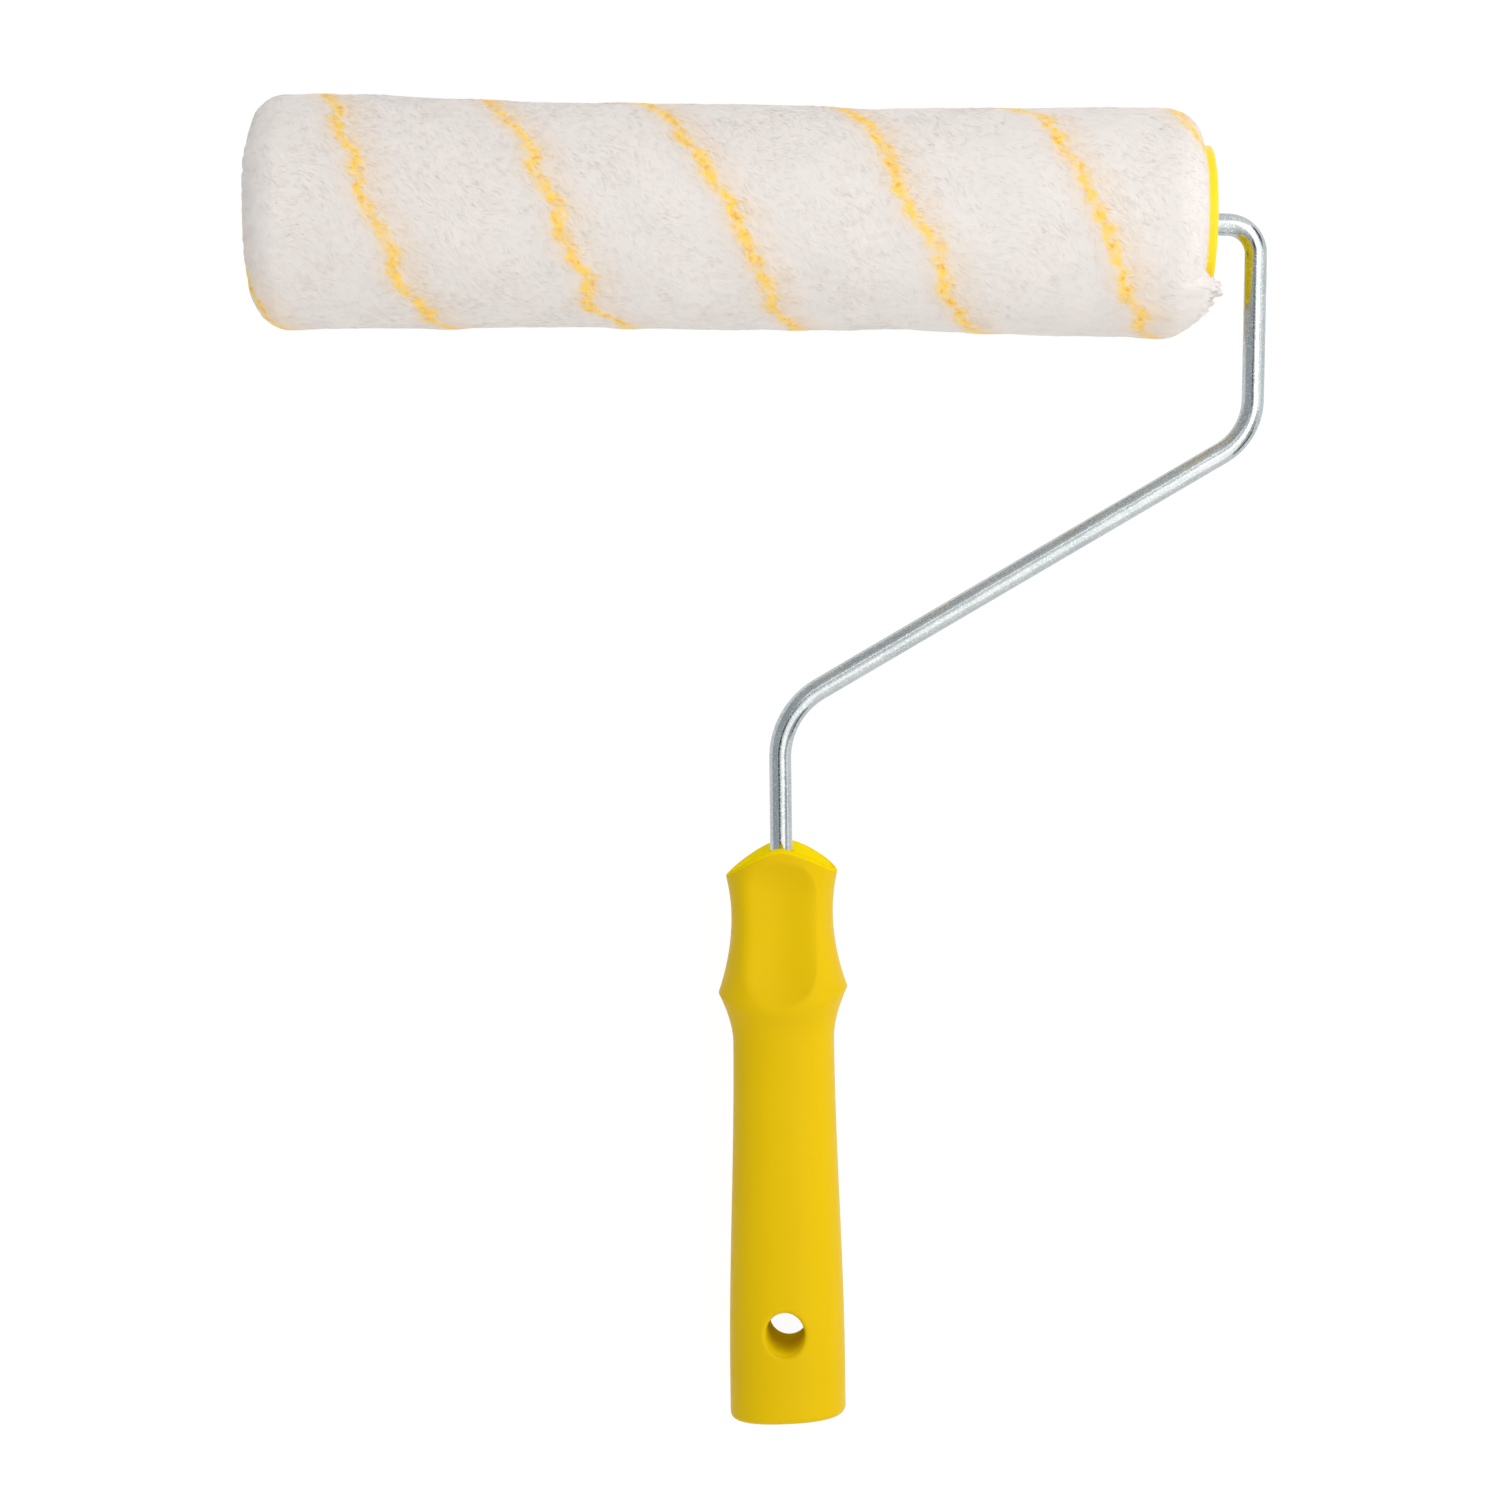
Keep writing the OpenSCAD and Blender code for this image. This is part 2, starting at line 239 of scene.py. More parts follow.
class Finish(Nodes):
    """A node material with one Principled shader."""

    def __init__(self, name):
        self.material = bpy.data.materials.new(name)
        super().__init__(self.material)
        self.shader = self.tree.nodes["Principled BSDF"]
        self.place = self.add("ShaderNodeTexCoord").outputs["Object"]

    def set(self, **values):
        """Plain values on the shader's own sockets, with _ for a space in the socket's name."""
        for key, value in values.items():
            self.shader.inputs[key.replace("_", " ")].default_value = value

    def link(self, name, value):
        """Feeds one of the shader's sockets."""
        self.feed(self.shader.inputs[name], value)

    def noise(self, size, detail=2.0, roughness=0.5, place=None):
        """Noise from 0 to 1 with features of a size in metres."""
        node = self.add("ShaderNodeTexNoise")
        self.feed(node.inputs["Vector"], place or self.place)
        self.feed(node.inputs["Scale"], 1.0 / size)
        self.feed(node.inputs["Detail"], detail)
        self.feed(node.inputs["Roughness"], roughness)
        return node.outputs["Fac"]

    def clouded(self, size, detail, roughness, base, depth):
        """A base colour that soft clouds darken to a share of itself."""
        clouds = self.fitted(self.noise(size, detail, roughness), 0.3, 0.7)
        return self.blend(clouds, opaque(shaded(base, depth)), opaque(base))

    def stretched(self, x, y, z, place=None):
        """Coordinates scaled on each axis."""
        node = self.add("ShaderNodeMapping")
        self.feed(node.inputs["Vector"], place or self.place)
        node.inputs["Scale"].default_value = (x, y, z)
        return node.outputs["Vector"]

    def value(self, name):
        """A number that each point of the mesh holds."""
        return self.add("ShaderNodeAttribute", attribute_name=name).outputs["Fac"]

    def bumps(self, *layers):
        """Bumps from (height, strength, depth in metres), one on top of the other."""
        normal = None
        for height, strength, depth in layers:
            node = self.add("ShaderNodeBump")
            self.feed(node.inputs["Height"], height)
            self.feed(node.inputs["Strength"], strength)
            self.feed(node.inputs["Distance"], depth)
            if normal is not None:
                self.feed(node.inputs["Normal"], normal)
            normal = node.outputs["Normal"]
        self.link("Normal", normal)


def opaque(tone):
    """A colour with full alpha, for a socket."""
    return (*tone, 1.0)


def grey(level):
    """An even grey with full alpha, for a socket."""
    return (level, level, level, 1.0)


def shaded(tone, share):
    """A colour scaled by a share, or by one for each channel, with no channel past 1."""
    return tuple(np.minimum(1.0, np.array(tone) * share))


# ---------------------------------------------------------------- sizes and colours to set

def length(name, description, millimetres):
    """A length property whose default is given in millimetres."""
    return FloatProperty(name=name, description=description, default=millimetres * MM, unit="LENGTH",
                         precision=5)


def angle(name, description, degrees):
    """An angle property whose default is given in degrees."""
    return FloatProperty(name=name, description=description, default=math.radians(degrees),
                         subtype="ANGLE", unit="ROTATION")


def number(name, description, default, low, high):
    """A property with no unit."""
    return FloatProperty(name=name, description=description, default=default, min=low, max=high)


def whole(name, description, default, low):
    """A property that counts something."""
    return IntProperty(name=name, description=description, default=default, min=low)


def colour(name, description, default):
    """A colour property."""
    return FloatVectorProperty(name=name, description=description, default=default, subtype="COLOR",
                               min=0.0, max=1.0)


class HandleSizes(bpy.types.PropertyGroup):
    """Sizes of the moulded handle."""

    handle_len: length("Length", "Length from the mouth's corners to the butt", 147.8)
    mouth_w: length("Mouth width", "Width at the mouth's corners", 30.5)
    neck_w: length("Neck width", "Width at the neck", 27.3)
    belt_w: length("Belt width", "Width at the guard belt", 34.8)
    waist_w: length("Waist width", "Width below the belt", 27.2)
    belly_w: length("Belly width", "Width near the butt", 31.2)
    neck_s: length("Neck place", "Distance from the mouth's corners to the neck", 12.0)
    belt_s: length("Belt place", "Distance from the mouth's corners to the belt", 31.5)
    waist_s: length("Waist place", "Distance from the mouth's corners to the waist", 45.0)
    belly_up: length("Belly place", "Distance from the butt to the widest part of the belly", 12.8)
    gable_h: length("Gable height", "Height of the mouth's gable over its corners' line", 7.5)
    gable_fall: length("Gable fall", "Fall of the gable from its peak to the corners", 6.6)
    gable_back: length("Gable behind", "How much higher the gable stands at the back", 0.8)
    belt_dip: length("Belt dip", "How far the belt dips at the front and the back", 3.5)
    scoop_w: length("Scoop width", "Width of the thumb scoop", 19.5)
    scoop_depth: length("Scoop depth", "Depth of the thumb scoop", 3.4)
    scoop_top: length("Scoop top", "Height of the scoop's arch over the mouth's corners' line", 3.6)
    mouth_r: length("Mouth rounding", "Rounding of the mouth's rim", 1.4)
    butt_r: length("Butt rounding", "Rounding of the butt's edge", 1.7)
    hang_up: length("Hang hole place", "Distance from the butt to the middle of the hang hole", 24.4)
    hang_w: length("Hang hole width", "Width of the hang hole", 10.4)
    hang_h: length("Hang hole height", "Height of the hang hole along the handle, at the front", 11.8)
    hang_back: length("Hang hole behind", "Height of the hang hole along the handle, at the back", 10.4)
    hang_rim: length("Hang hole rim", "Rounding of the hang hole's rim", 1.3)
    tang_len: length("Tang length", "Depth of the bore that holds the wire", 85.0)
    gate_r: length("Gate mark", "Radius of the moulding gate's mark on the butt", 1.1)
    parting: length("Parting line", "Height of the moulding's parting line", 0.08)
    depth_share: number("Depth share", "Thickness as a share of the width", 0.86, 0.5, 1.2)
    lean: angle("Lean", "Lean of the handle off square to the axle", 1.5)
    skew: number("Skew", "Slope of the mouth, belt and butt across the handle", 0.04, -0.2, 0.2)
    sides: whole("Sides", "Points round the handle's skin", 240, 48)


class WireSizes(bpy.types.PropertyGroup):
    """Sizes of the bent wire."""

    wire_d: length("Wire", "Diameter of the wire", 6.0)
    drop: length("Drop leg", "Length of the drop leg between the centre line's corners", 56.0)
    axle_bend_r: length("Axle bend", "Radius of the bend between axle and drop leg", 7.8)
    drop_bend_r: length("Drop bend", "Radius of the bend between drop leg and diagonal", 16.8)
    handle_bend_r: length("Handle bend", "Radius of the bend above the handle", 21.4)
    leg_len: length("Leg", "Bare wire from the handle bend's corner to the mouth's corners", 43.4)
    tip_inset: length("Tip inset", "How far the axle's tip lies inside the far cap's face", 1.0)
    wing_w: length("Wing width", "Width across the swaged wings", 10.0)
    wing_len: length("Wing length", "Length of the swaged wings along the wire", 2.4)
    wing_t: length("Wing thickness", "Thickness of the swaged wings", 3.0)
    well_depth: length("Cap well", "Depth of the near cap's well, which the wings sit in", 6.0)
    diagonal_angle: angle("Diagonal", "Slope of the diagonal below the axle", 31.2)
    sides: whole("Sides", "Points round the wire", 48, 12)


class PileSizes(bpy.types.PropertyGroup):
    """Sizes of the pile cover."""

    pile_d: length("Pile diameter", "Mean diameter over the pile", 60.0)
    end_axial: length("End rounding along", "Length over which the pile's end rounds off", 9.5)
    near_proud: length("Near overhang", "How far the pile runs past the core at the near cap", 0.0)
    far_proud: length("Far overhang", "How far the pile runs past the core at the far cap", 2.4)
    lump: length("Lumps", "Height of the pile's soft lumps", 0.6)
    fibre_len: length("Fibre length", "Length of a fibre's free tip", 2.3)
    fibre_r: length("Fibre radius", "Radius of a tuft of fibres at its root", 0.05)
    guard_share: number("Guard hairs", "Share of the fibres that stand off the skin", 0.2, 0.0, 1.0)
    tuft: length("Brushed tuft", "How far the brushed tuft stands out past the near end", 6.0)
    around: whole("Points round", "Points round the pile's skin", 224, 64)
    along: whole("Points along", "Points along the pile's skin", 374, 64)
    fibres: whole("Fibres", "Fibres in each third of the sleeve", 49000, 100)


class RollerColours(bpy.types.PropertyGroup):
    """Base colours of the finishes."""

    handle: colour("Handle", "Yellow of the moulded handle", (0.715, 0.48, 0.0006))
    # Painted light: a brighter yellow painted on the mouth's roof and the hang hole's wall, standing for light
    # that passes through the plastic.
    handle_painted_glow: colour("Handle openings", "Yellow where light passes through the plastic",
                          (0.88, 0.69, 0.004))
    cap: colour("Caps", "Yellow of the end caps", (0.95, 0.67, 0.007))
    zinc: colour("Zinc", "Bright zinc plate on the wire and washers", (0.485, 0.52, 0.53))
    spring: colour("Spring steel", "Blued steel of the push nut", (0.16, 0.17, 0.2))
    core: colour("Core", "Plain plastic of the core tube", (0.72, 0.71, 0.68))
    pile: colour("Pile", "Off-white of the pile", (0.758, 0.722, 0.695))
    marker: colour("Marker", "Yellow of the marker stripe", (0.92, 0.63, 0.12))
    knot: colour("Knots", "Orange of the marker's thicker knots", (0.87, 0.46, 0.04))
    blush: colour("Blush", "Tint that the marker gives the pile beside it", (0.775, 0.655, 0.52))


class StudioSettings(bpy.types.PropertyGroup):
    """Camera and light."""

    camera_height: length("Camera height", "Height of the camera over the axle", 908.8)
    camera_x: length("Camera X", "Place of the camera along the axle", 0.25)
    camera_y: length("Camera Y", "Place of the camera along the handle", 3.0)
    camera_turn: angle("Camera turn", "Turn of the picture about the view", 0.78)
    lens: number("Lens", "Focal length in millimetres", 81.17, 10.0, 500.0)
    sky_left: number("Room left", "Brightness of the room's left", 0.59, 0.0, 10.0)
    sky_right: number("Room right", "Brightness of the room's right", 1.2, 0.0, 10.0)
    key: number("Key", "Power of the key light in watts", 4.5, 0.0, 1000.0)
    fill: number("Fill", "Power of the fill light in watts", 0.9, 0.0, 1000.0)


# ---------------------------------------------------------------- places read from the frame

def axle_line():
    """A point on the axle and the axle's direction."""
    joint = frame["joints"][0]
    return Vector(joint["pos_m"]), Vector(joint["axis"]).normalized()


def hang_mount():
    """Middle and direction of the hang hole."""
    mount = next(m for m in frame["record"]["mounts"] if m["name"] == "hang_hole")
    return Vector(mount["pos_m"]), Vector(mount["axis"]).normalized()


def sleeveward():
    """Direction square to the axle that points from the handle to the sleeve."""
    axle, along = axle_line()
    hole, _ = hang_mount()
    down = hole - axle
    down -= down.dot(along) * along
    return -down.normalized()


def wire_plane():
    """Origin on the axle above the handle's bend, and the plane's axes: along the axle, towards the
    sleeve, and out of the plane."""
    axle, along = axle_line()
    up = sleeveward()
    origin = axle + (handle_bend_place(along) - axle.dot(along)) * along
    return origin, (along, up, along.cross(up))


def handle_bend_place(along):
    """Place along the axle of the wire's corner above the handle, which its leg reaches."""
    origin, axes = handle_frame()
    corner = origin + axes[1] * bpy.context.scene.roller_wire.leg_len
    return corner.dot(along)


def handle_frame():
    """Middle of the mouth's corners, and the handle's axes: across, towards the mouth, through."""
    sizes = bpy.context.scene.roller_handle
    _, along = axle_line()
    hole, through = hang_mount()
    mouthward = sleeveward() * math.cos(sizes.lean) - along * math.sin(sizes.lean)
    across = mouthward.cross(through).normalized()
    through = across.cross(mouthward)
    origin = hole + mouthward * (sizes.handle_len - sizes.hang_up)
    return origin, (across, mouthward, through)


def placed(points, origin, axes):
    """Points given in a frame of their own, carried to where that frame lies."""
    turn = np.array([list(axis) for axis in axes])
    return np.asarray(points) @ turn + np.array(origin)


# ---------------------------------------------------------------- handle

SECTION_POWER = 2.3
GABLE_POWER = 1.5
NECK_POWER = 1.9
BELT_POWER = 1.7
BELT_REACH = 12.0 * MM
ROOF_DISH = 1.3 * MM
# Softness of the scoop's rim on its two sides, as a share of its depth.
SCOOP_RIM_LEFT = 0.35
SCOOP_RIM_RIGHT = 0.06
SCOOP_ARCH_POWER = 2.5
BELT_SOFT = 2.6 * MM
BELT_SAMPLES = 9
GATE_RIM = 0.35 * MM
GATE_DIP = 0.55 * MM
# The patch of skin round the hang hole: how far it runs past the hole's ends, and half of its width as a
# share of all the handle's sides.
PATCH_PAST = 5.5 * MM
PATCH_SPAN = 0.105
HEAD_STEP = 0.5 * MM
GRIP_STEP = 1.4 * MM
RIM_STEPS = 6
PATCH_STEPS = 9
TUNNEL_STEPS = 12
ROOF_STEPS = 14
BUTT_STEPS = 22
BUTT_CROWDING = 1.35
# Rows before the skin's own: the bore's end and the roof of the mouth.
FIRST_SKIN = 1 + ROOF_STEPS


def half_width(sizes, s):
    """Half of the handle's width at a distance s from the mouth's corners."""
    belly_s = sizes.handle_len - sizes.belly_up
    mouth = (sizes.neck_s - s) / sizes.neck_s
    neck = (s - sizes.neck_s) / (sizes.belt_s - sizes.neck_s)
    belt = (sizes.waist_s - s) / (sizes.waist_s - sizes.belt_s)
    belly = ease((s - sizes.waist_s) / (belly_s - sizes.waist_s))
    widths = (
        sizes.neck_w + (sizes.mouth_w - sizes.neck_w) * np.clip(mouth, 0, 1) ** 2,
        sizes.neck_w + (sizes.belt_w - sizes.neck_w) * np.clip(neck, 0, 1) ** NECK_POWER,
        sizes.waist_w + (sizes.belt_w - sizes.waist_w) * np.clip(belt, 0, 1) ** BELT_POWER,
        sizes.waist_w + (sizes.belly_w - sizes.waist_w) * belly,
    )
    return np.select([s < sizes.neck_s, s < sizes.belt_s, s < sizes.waist_s], widths[:3], widths[3]) / 2


def gable(sizes, across, s):
    """How far the mouth's gable pulls the skin towards the wire."""
    height = sizes.gable_h - sizes.gable_fall * np.abs(across) ** GABLE_POWER
    return height * (1 - ease(s / sizes.belt_s))


def scoop(sizes, x, s):
    """Depth of the thumb scoop: a hollow like a spoon's, arched below the gable and round at the belt."""
    half = sizes.scoop_w / 2
    across = np.abs(x) / half
    above = np.clip((half - sizes.scoop_top - s) / half, 0, None)
    below = np.clip((s - sizes.belt_s - sizes.belt_dip + half) / half, 0, None)
    arched = (across ** SCOOP_ARCH_POWER + above ** SCOOP_ARCH_POWER) ** (1 / SCOOP_ARCH_POWER)
    reach = np.maximum(arched, np.hypot(across, below))
    level = 1 - reach ** 2
    soft = mixed(SCOOP_RIM_LEFT, SCOOP_RIM_RIGHT, ease(x / half + 0.5))
    rim = np.clip(level + soft, 0, 2 * soft) ** 2 / (4 * soft)
    return sizes.scoop_depth * np.where(level > soft, level, rim)


def soft_half_width(sizes, s):
    """Half width with the guard belt's ridge rounded off, as at the front and the back."""
    spread = np.linspace(-BELT_SOFT, BELT_SOFT, BELT_SAMPLES)
    return sum(half_width(sizes, s + step) for step in spread) / len(spread)


def skin_ring(sizes, s, inset, angles):
    """One ring of the handle's skin: x across, -y towards the butt, z through."""
    across = signed_pow(np.cos(angles), 2 / SECTION_POWER)
    through = signed_pow(np.sin(angles), 2 / SECTION_POWER)
    dip = sizes.belt_dip * through ** 2 * bell((s - sizes.belt_s) / BELT_REACH)
    behind = sizes.gable_back * np.clip(-through, 0, 1) ** 2 * (1 - ease(s / sizes.neck_s))
    place = s - gable(sizes, across, s) + dip - behind - sizes.skew * half_width(sizes, s) * across
    half = half_width(sizes, np.full_like(angles, s))
    soft = mixed(half, soft_half_width(sizes, np.full_like(angles, s)), through ** 2)
    x = (half - inset) * across
    z = (soft * sizes.depth_share - inset) * through
    z = z - scoop(sizes, x, place) * through
    seam = np.isclose(np.abs(across), 1.0)
    x = x + np.where(seam, sizes.parting * np.sign(x), 0.0)
    return np.stack([x, -place, z], axis=1)


def skin_rings(sizes):
    """(distance, inset) of each ring of the skin, from the mouth's rim to the butt's."""
    grip_end = sizes.handle_len - sizes.butt_r
    turns = np.linspace(0, math.pi / 2, RIM_STEPS + 1)
    rings = [(sizes.mouth_r * (1 - math.cos(a)), sizes.mouth_r * (1 - math.sin(a))) for a in turns[:-1]]
    for start, stop, step in ((sizes.mouth_r, sizes.waist_s, HEAD_STEP),
                              (sizes.waist_s, grip_end, GRIP_STEP)):
        count = math.ceil((stop - start) / step)
        rings += [(start + (stop - start) * i / count, 0.0) for i in range(count)]
    rings += [(grip_end + sizes.butt_r * math.sin(a), sizes.butt_r * (1 - math.cos(a))) for a in turns]
    return rings


def roof_rows(rim, wire_r, angles):
    """Rows of the gabled roof from the mouth's rim to the wire's bore."""
    x, y, z = rim.T
    ridge = y[len(y) // 4] - ROOF_DISH
    bore = np.stack([wire_r * np.cos(angles), np.full_like(y, ridge), wire_r * np.sin(angles)], axis=1)
    return [mixed(rim, bore, step / ROOF_STEPS) for step in range(1, ROOF_STEPS + 1)]


def butt_rows(sizes, rim):
    """Rows of the flat butt from its rim to its middle, with the gate's mark."""
    rows = []
    for step in range(1, BUTT_STEPS + 1):
        share = (1 - step / BUTT_STEPS) ** BUTT_CROWDING
        row = rim * np.array([share, 1.0, share])
        radius = np.hypot(row[:, 0], row[:, 2])
        crater = GATE_RIM * bell(radius / (2 * sizes.gate_r)) - GATE_DIP * bell(radius / sizes.gate_r)
        row[:, 1] = rim[:, 1] + crater
        rows.append(row)
    return rows


def face_height(sizes, x, s):
    """Height of the handle's skin over its middle plane, below the belt."""
    half = half_width(sizes, s)
    return half * sizes.depth_share * (1 - np.abs(x / half) ** SECTION_POWER) ** (1 / SECTION_POWER)


def hang_hole_loops(sizes, outline, hole_h):
    """Loops of x and distance, with each point's fall below the skin, from an outline on the skin over
    the hole's rounded rim."""
    middle = sizes.handle_len - sizes.hang_up
    bearing = np.arctan2((outline[:, 1] - middle) / sizes.hang_h, outline[:, 0] / sizes.hang_w)
    loops = []

    def oval(grow):
        x = (sizes.hang_w / 2 + grow) * np.cos(bearing)
        s = middle + (hole_h / 2 + grow) * np.sin(bearing)
        return np.stack([x, s], axis=1)

    rim_edge = oval(sizes.hang_rim)
    for step in range(1, PATCH_STEPS + 1):
        flat = mixed(outline, rim_edge, step / PATCH_STEPS)
        loops.append((flat, np.zeros(len(flat))))
    for turn in np.linspace(0, math.pi / 2, RIM_STEPS + 1)[1:]:
        fall = sizes.hang_rim * (1 - math.cos(turn))
        loops.append((oval(sizes.hang_rim * (1 - math.sin(turn))), np.full(len(outline), fall)))
    return loops


def hang_hole(shell, sizes, rings):
    """Cuts the hang hole through the handle and returns the numbers of the points on its wall."""
    sides = sizes.sides
    middle = sizes.handle_len - sizes.hang_up
    reach = sizes.hang_h / 2 + PATCH_PAST
    near_hole = [row for row, (s, _) in enumerate(rings, FIRST_SKIN) if abs(s - middle) < reach]
    top, bottom = near_hole[0], near_hole[-1]
    half_span = round(sides * PATCH_SPAN)
    low, high = sides // 4 - half_span, sides // 4 + half_span

    def patched(face):
        row, side = divmod(face[0], sides)
        return top <= row < bottom and low <= side % (sides // 2) < high

    shell.faces = [face for face in shell.faces if not patched(face)]
    outline = [(top, side) for side in range(low, high)]
    outline += [(row, high) for row in range(top, bottom)]
    outline += [(bottom, side) for side in range(high, low, -1)]
    outline += [(row, low) for row in range(bottom, top, -1)]
    flat = shell.points[[row * sides + side for row, side in outline], :2] * (1, -1)
    rims = []
    for facing, hole_h in ((1, sizes.hang_h), (-1, sizes.hang_back)):
        loops = [[row * sides + facing * side % sides for row, side in outline]]
        for place, fall in hang_hole_loops(sizes, flat, hole_h):
            x, s = place.T
            height = face_height(sizes, x, s) - fall
            loops.append(shell.loop(np.stack([x, -s, facing * height], axis=1)))
        shell.bridge(loops)
        rims.append(loops[-1])
    front, back = [shell.points[rim] for rim in rims]
    between = [shell.loop(mixed(front, back, step / TUNNEL_STEPS)) for step in range(1, TUNNEL_STEPS)]
    wall = [rims[0], *between, rims[1]]
    shell.bridge(wall)
    return np.concatenate(wall)


def handle_shell(sizes, wire_r):
    """The whole handle in its own frame, and how far each of its points lies inside its openings."""
    sides = sizes.sides
    angles = np.arange(sides) * 2 * math.pi / sides
    rings = skin_rings(sizes)
    skin = [skin_ring(sizes, s, inset, angles) for s, inset in rings]
    roof = roof_rows(skin[0], wire_r, angles)[::-1]
    bore_end = roof[0].copy()
    bore_end[:, 1] = -sizes.tang_len
    shell = Shell([bore_end] + roof + skin + butt_rows(sizes, skin[-1]))
    shell.faces.append(tuple(range(sides))[::-1])
    wall = hang_hole(shell, sizes, rings)
    # Where the finish paints light that comes through the plastic, and lowers the specular: half on the mouth's
    # rim, fully on the bore's end, the roof and the hang hole's wall.
    inside = np.zeros(len(shell.points))
    inside[:(FIRST_SKIN + RIM_STEPS) * sides] = 0.5
    inside[:FIRST_SKIN * sides] = 1.0
    inside[wall] = 1.0
    return shell, inside


def handle_finish(colours):
    """Satin moulded plastic: fine grain, faint flow marks and a slight change of colour, with a brighter yellow
    painted in the mouth and the hang hole as painted light through the plastic.
    """
    finish = Finish("handle_plastic_finish")
    flow = finish.noise(7 * MM, 4.0, 0.6, finish.stretched(1.0, 0.25, 1.0))
    base = finish.clouded(38 * MM, 3.0, 0.5, colours.handle, 0.965)
    warm = opaque(shaded(colours.handle, (0.985, 0.95, 1.0)))
    skin = finish.blend(finish.fitted(flow, 0.45, 0.8, 0.0, 0.6), base, warm)
    # Painted light: the openings take a brighter yellow that stands for light passing through the plastic.
    inside = finish.value("inside")
    finish.link("Base Color", finish.blend(inside, skin, opaque(colours.handle_painted_glow)))
    grain = finish.noise(0.42 * MM, 2.0, 0.6)
    finish.link("Roughness", finish.fitted(finish.noise(3.5 * MM, 3.0), 0.3, 0.7, 0.40, 0.50))
    finish.bumps((grain, 0.3, 0.08 * MM), (flow, 0.25, 0.12 * MM))
    finish.link("Specular IOR Level", finish.fitted(inside, 0.0, 0.5, 0.1, 0.0))
    finish.set(IOR=1.42)
    return finish.material


class ROLLER_OT_handle(bpy.types.Operator):
    """Builds the moulded handle with its gabled mouth, thumb scoops, guard belt and hang hole"""

    bl_idname = "roller.handle"
    bl_label = "Handle"

    def execute(self, context):
        sizes = context.scene.roller_handle
        origin, axes = handle_frame()
        shell, inside = handle_shell(sizes, context.scene.roller_wire.wire_d / 2)
        material = handle_finish(context.scene.roller_colours)
        piece = new_piece("handle_grip", placed(shell.points, origin, axes), shell.faces, material)
        write_values(piece.data, "inside", inside)
        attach(piece, "frame")
        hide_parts("handle")
        return {"FINISHED"}


# ---------------------------------------------------------------- wire frame

STRAIGHT_STEP = 1.6 * MM
BEND_STEP = math.radians(3)
END_CHAMFER = 0.6 * MM
WING_SOFT = 0.8 * MM
WING_SWELL = 0.4 * MM
WING_ROWS = 14
WASHER_ROOM = 1.2 * MM
# Squareness of the wire's section, where it is round and at its wings.
ROUND_POWER = 2.0
WING_POWER = 3.6


def toward(heading):
    """Unit step on a heading."""
    return np.array([math.cos(heading), math.sin(heading)])


def wire_route(sizes, handle, tip, reach):
    """Points, headings and distances of the wire's centre line in its own plane, from its tip and with
    its first corner at the reach along the axle."""
    lower = -sizes.drop - reach * math.tan(sizes.diagonal_angle)
    corners = [((reach, 0.0), -math.pi / 2, sizes.axle_bend_r),
               ((reach, -sizes.drop), -math.pi + sizes.diagonal_angle, sizes.drop_bend_r),
               ((0.0, lower), -math.pi / 2 + handle.lean, sizes.handle_bend_r)]
    place = np.array([tip, 0.0])
    heading = 0.0
    points, headings = [place], [heading]

    def walk(to):
        count = max(1, math.ceil(np.linalg.norm(to - points[-1]) / STRAIGHT_STEP))
        start = points[-1]
        for step in range(1, count + 1):
            points.append(mixed(start, to, step / count))
            headings.append(heading)

    for corner, next_heading, radius in corners:
        turn = next_heading - heading
        setback = radius * math.tan(abs(turn) / 2)
        walk(np.array(corner) - setback * toward(heading))
        side = heading + math.copysign(math.pi / 2, turn)
        middle = points[-1] + radius * toward(side)
        count = math.ceil(abs(turn) / BEND_STEP)
        for step in range(1, count + 1):
            points.append(middle + radius * toward(side + math.pi + turn * step / count))
            headings.append(heading + turn * step / count)
        heading = next_heading
    last = np.array(corners[-1][0])
    walk(last + (sizes.leg_len + handle.tang_len) * toward(heading))
    points, headings = np.array(points), np.array(headings)
    run = np.concatenate([[0.0], np.cumsum(np.linalg.norm(np.diff(points, axis=0), axis=1))])
    return points, headings, run


def wire_rows(sizes, run, wings):
    """Half thickness in the plane, half thickness through it and squareness of each row of the wire."""
    radius = sizes.wire_d / 2
    wing = np.zeros_like(run)
    for start in wings:
        rise = ease((run - start + WING_SOFT) / WING_SOFT)
        fall = ease((start + sizes.wing_len + WING_SOFT - run) / WING_SOFT)
        wing = np.maximum(wing, rise * fall)
    to_end = np.minimum(run, run[-1] - run)
    chamfer = np.clip(END_CHAMFER - to_end, 0.0, END_CHAMFER)
    wide = mixed(radius, sizes.wing_w / 2, wing) - chamfer
    thick = mixed(radius, sizes.wing_t / 2 + WING_SWELL, wing) - chamfer
    return wide, thick, mixed(ROUND_POWER, WING_POWER, wing)


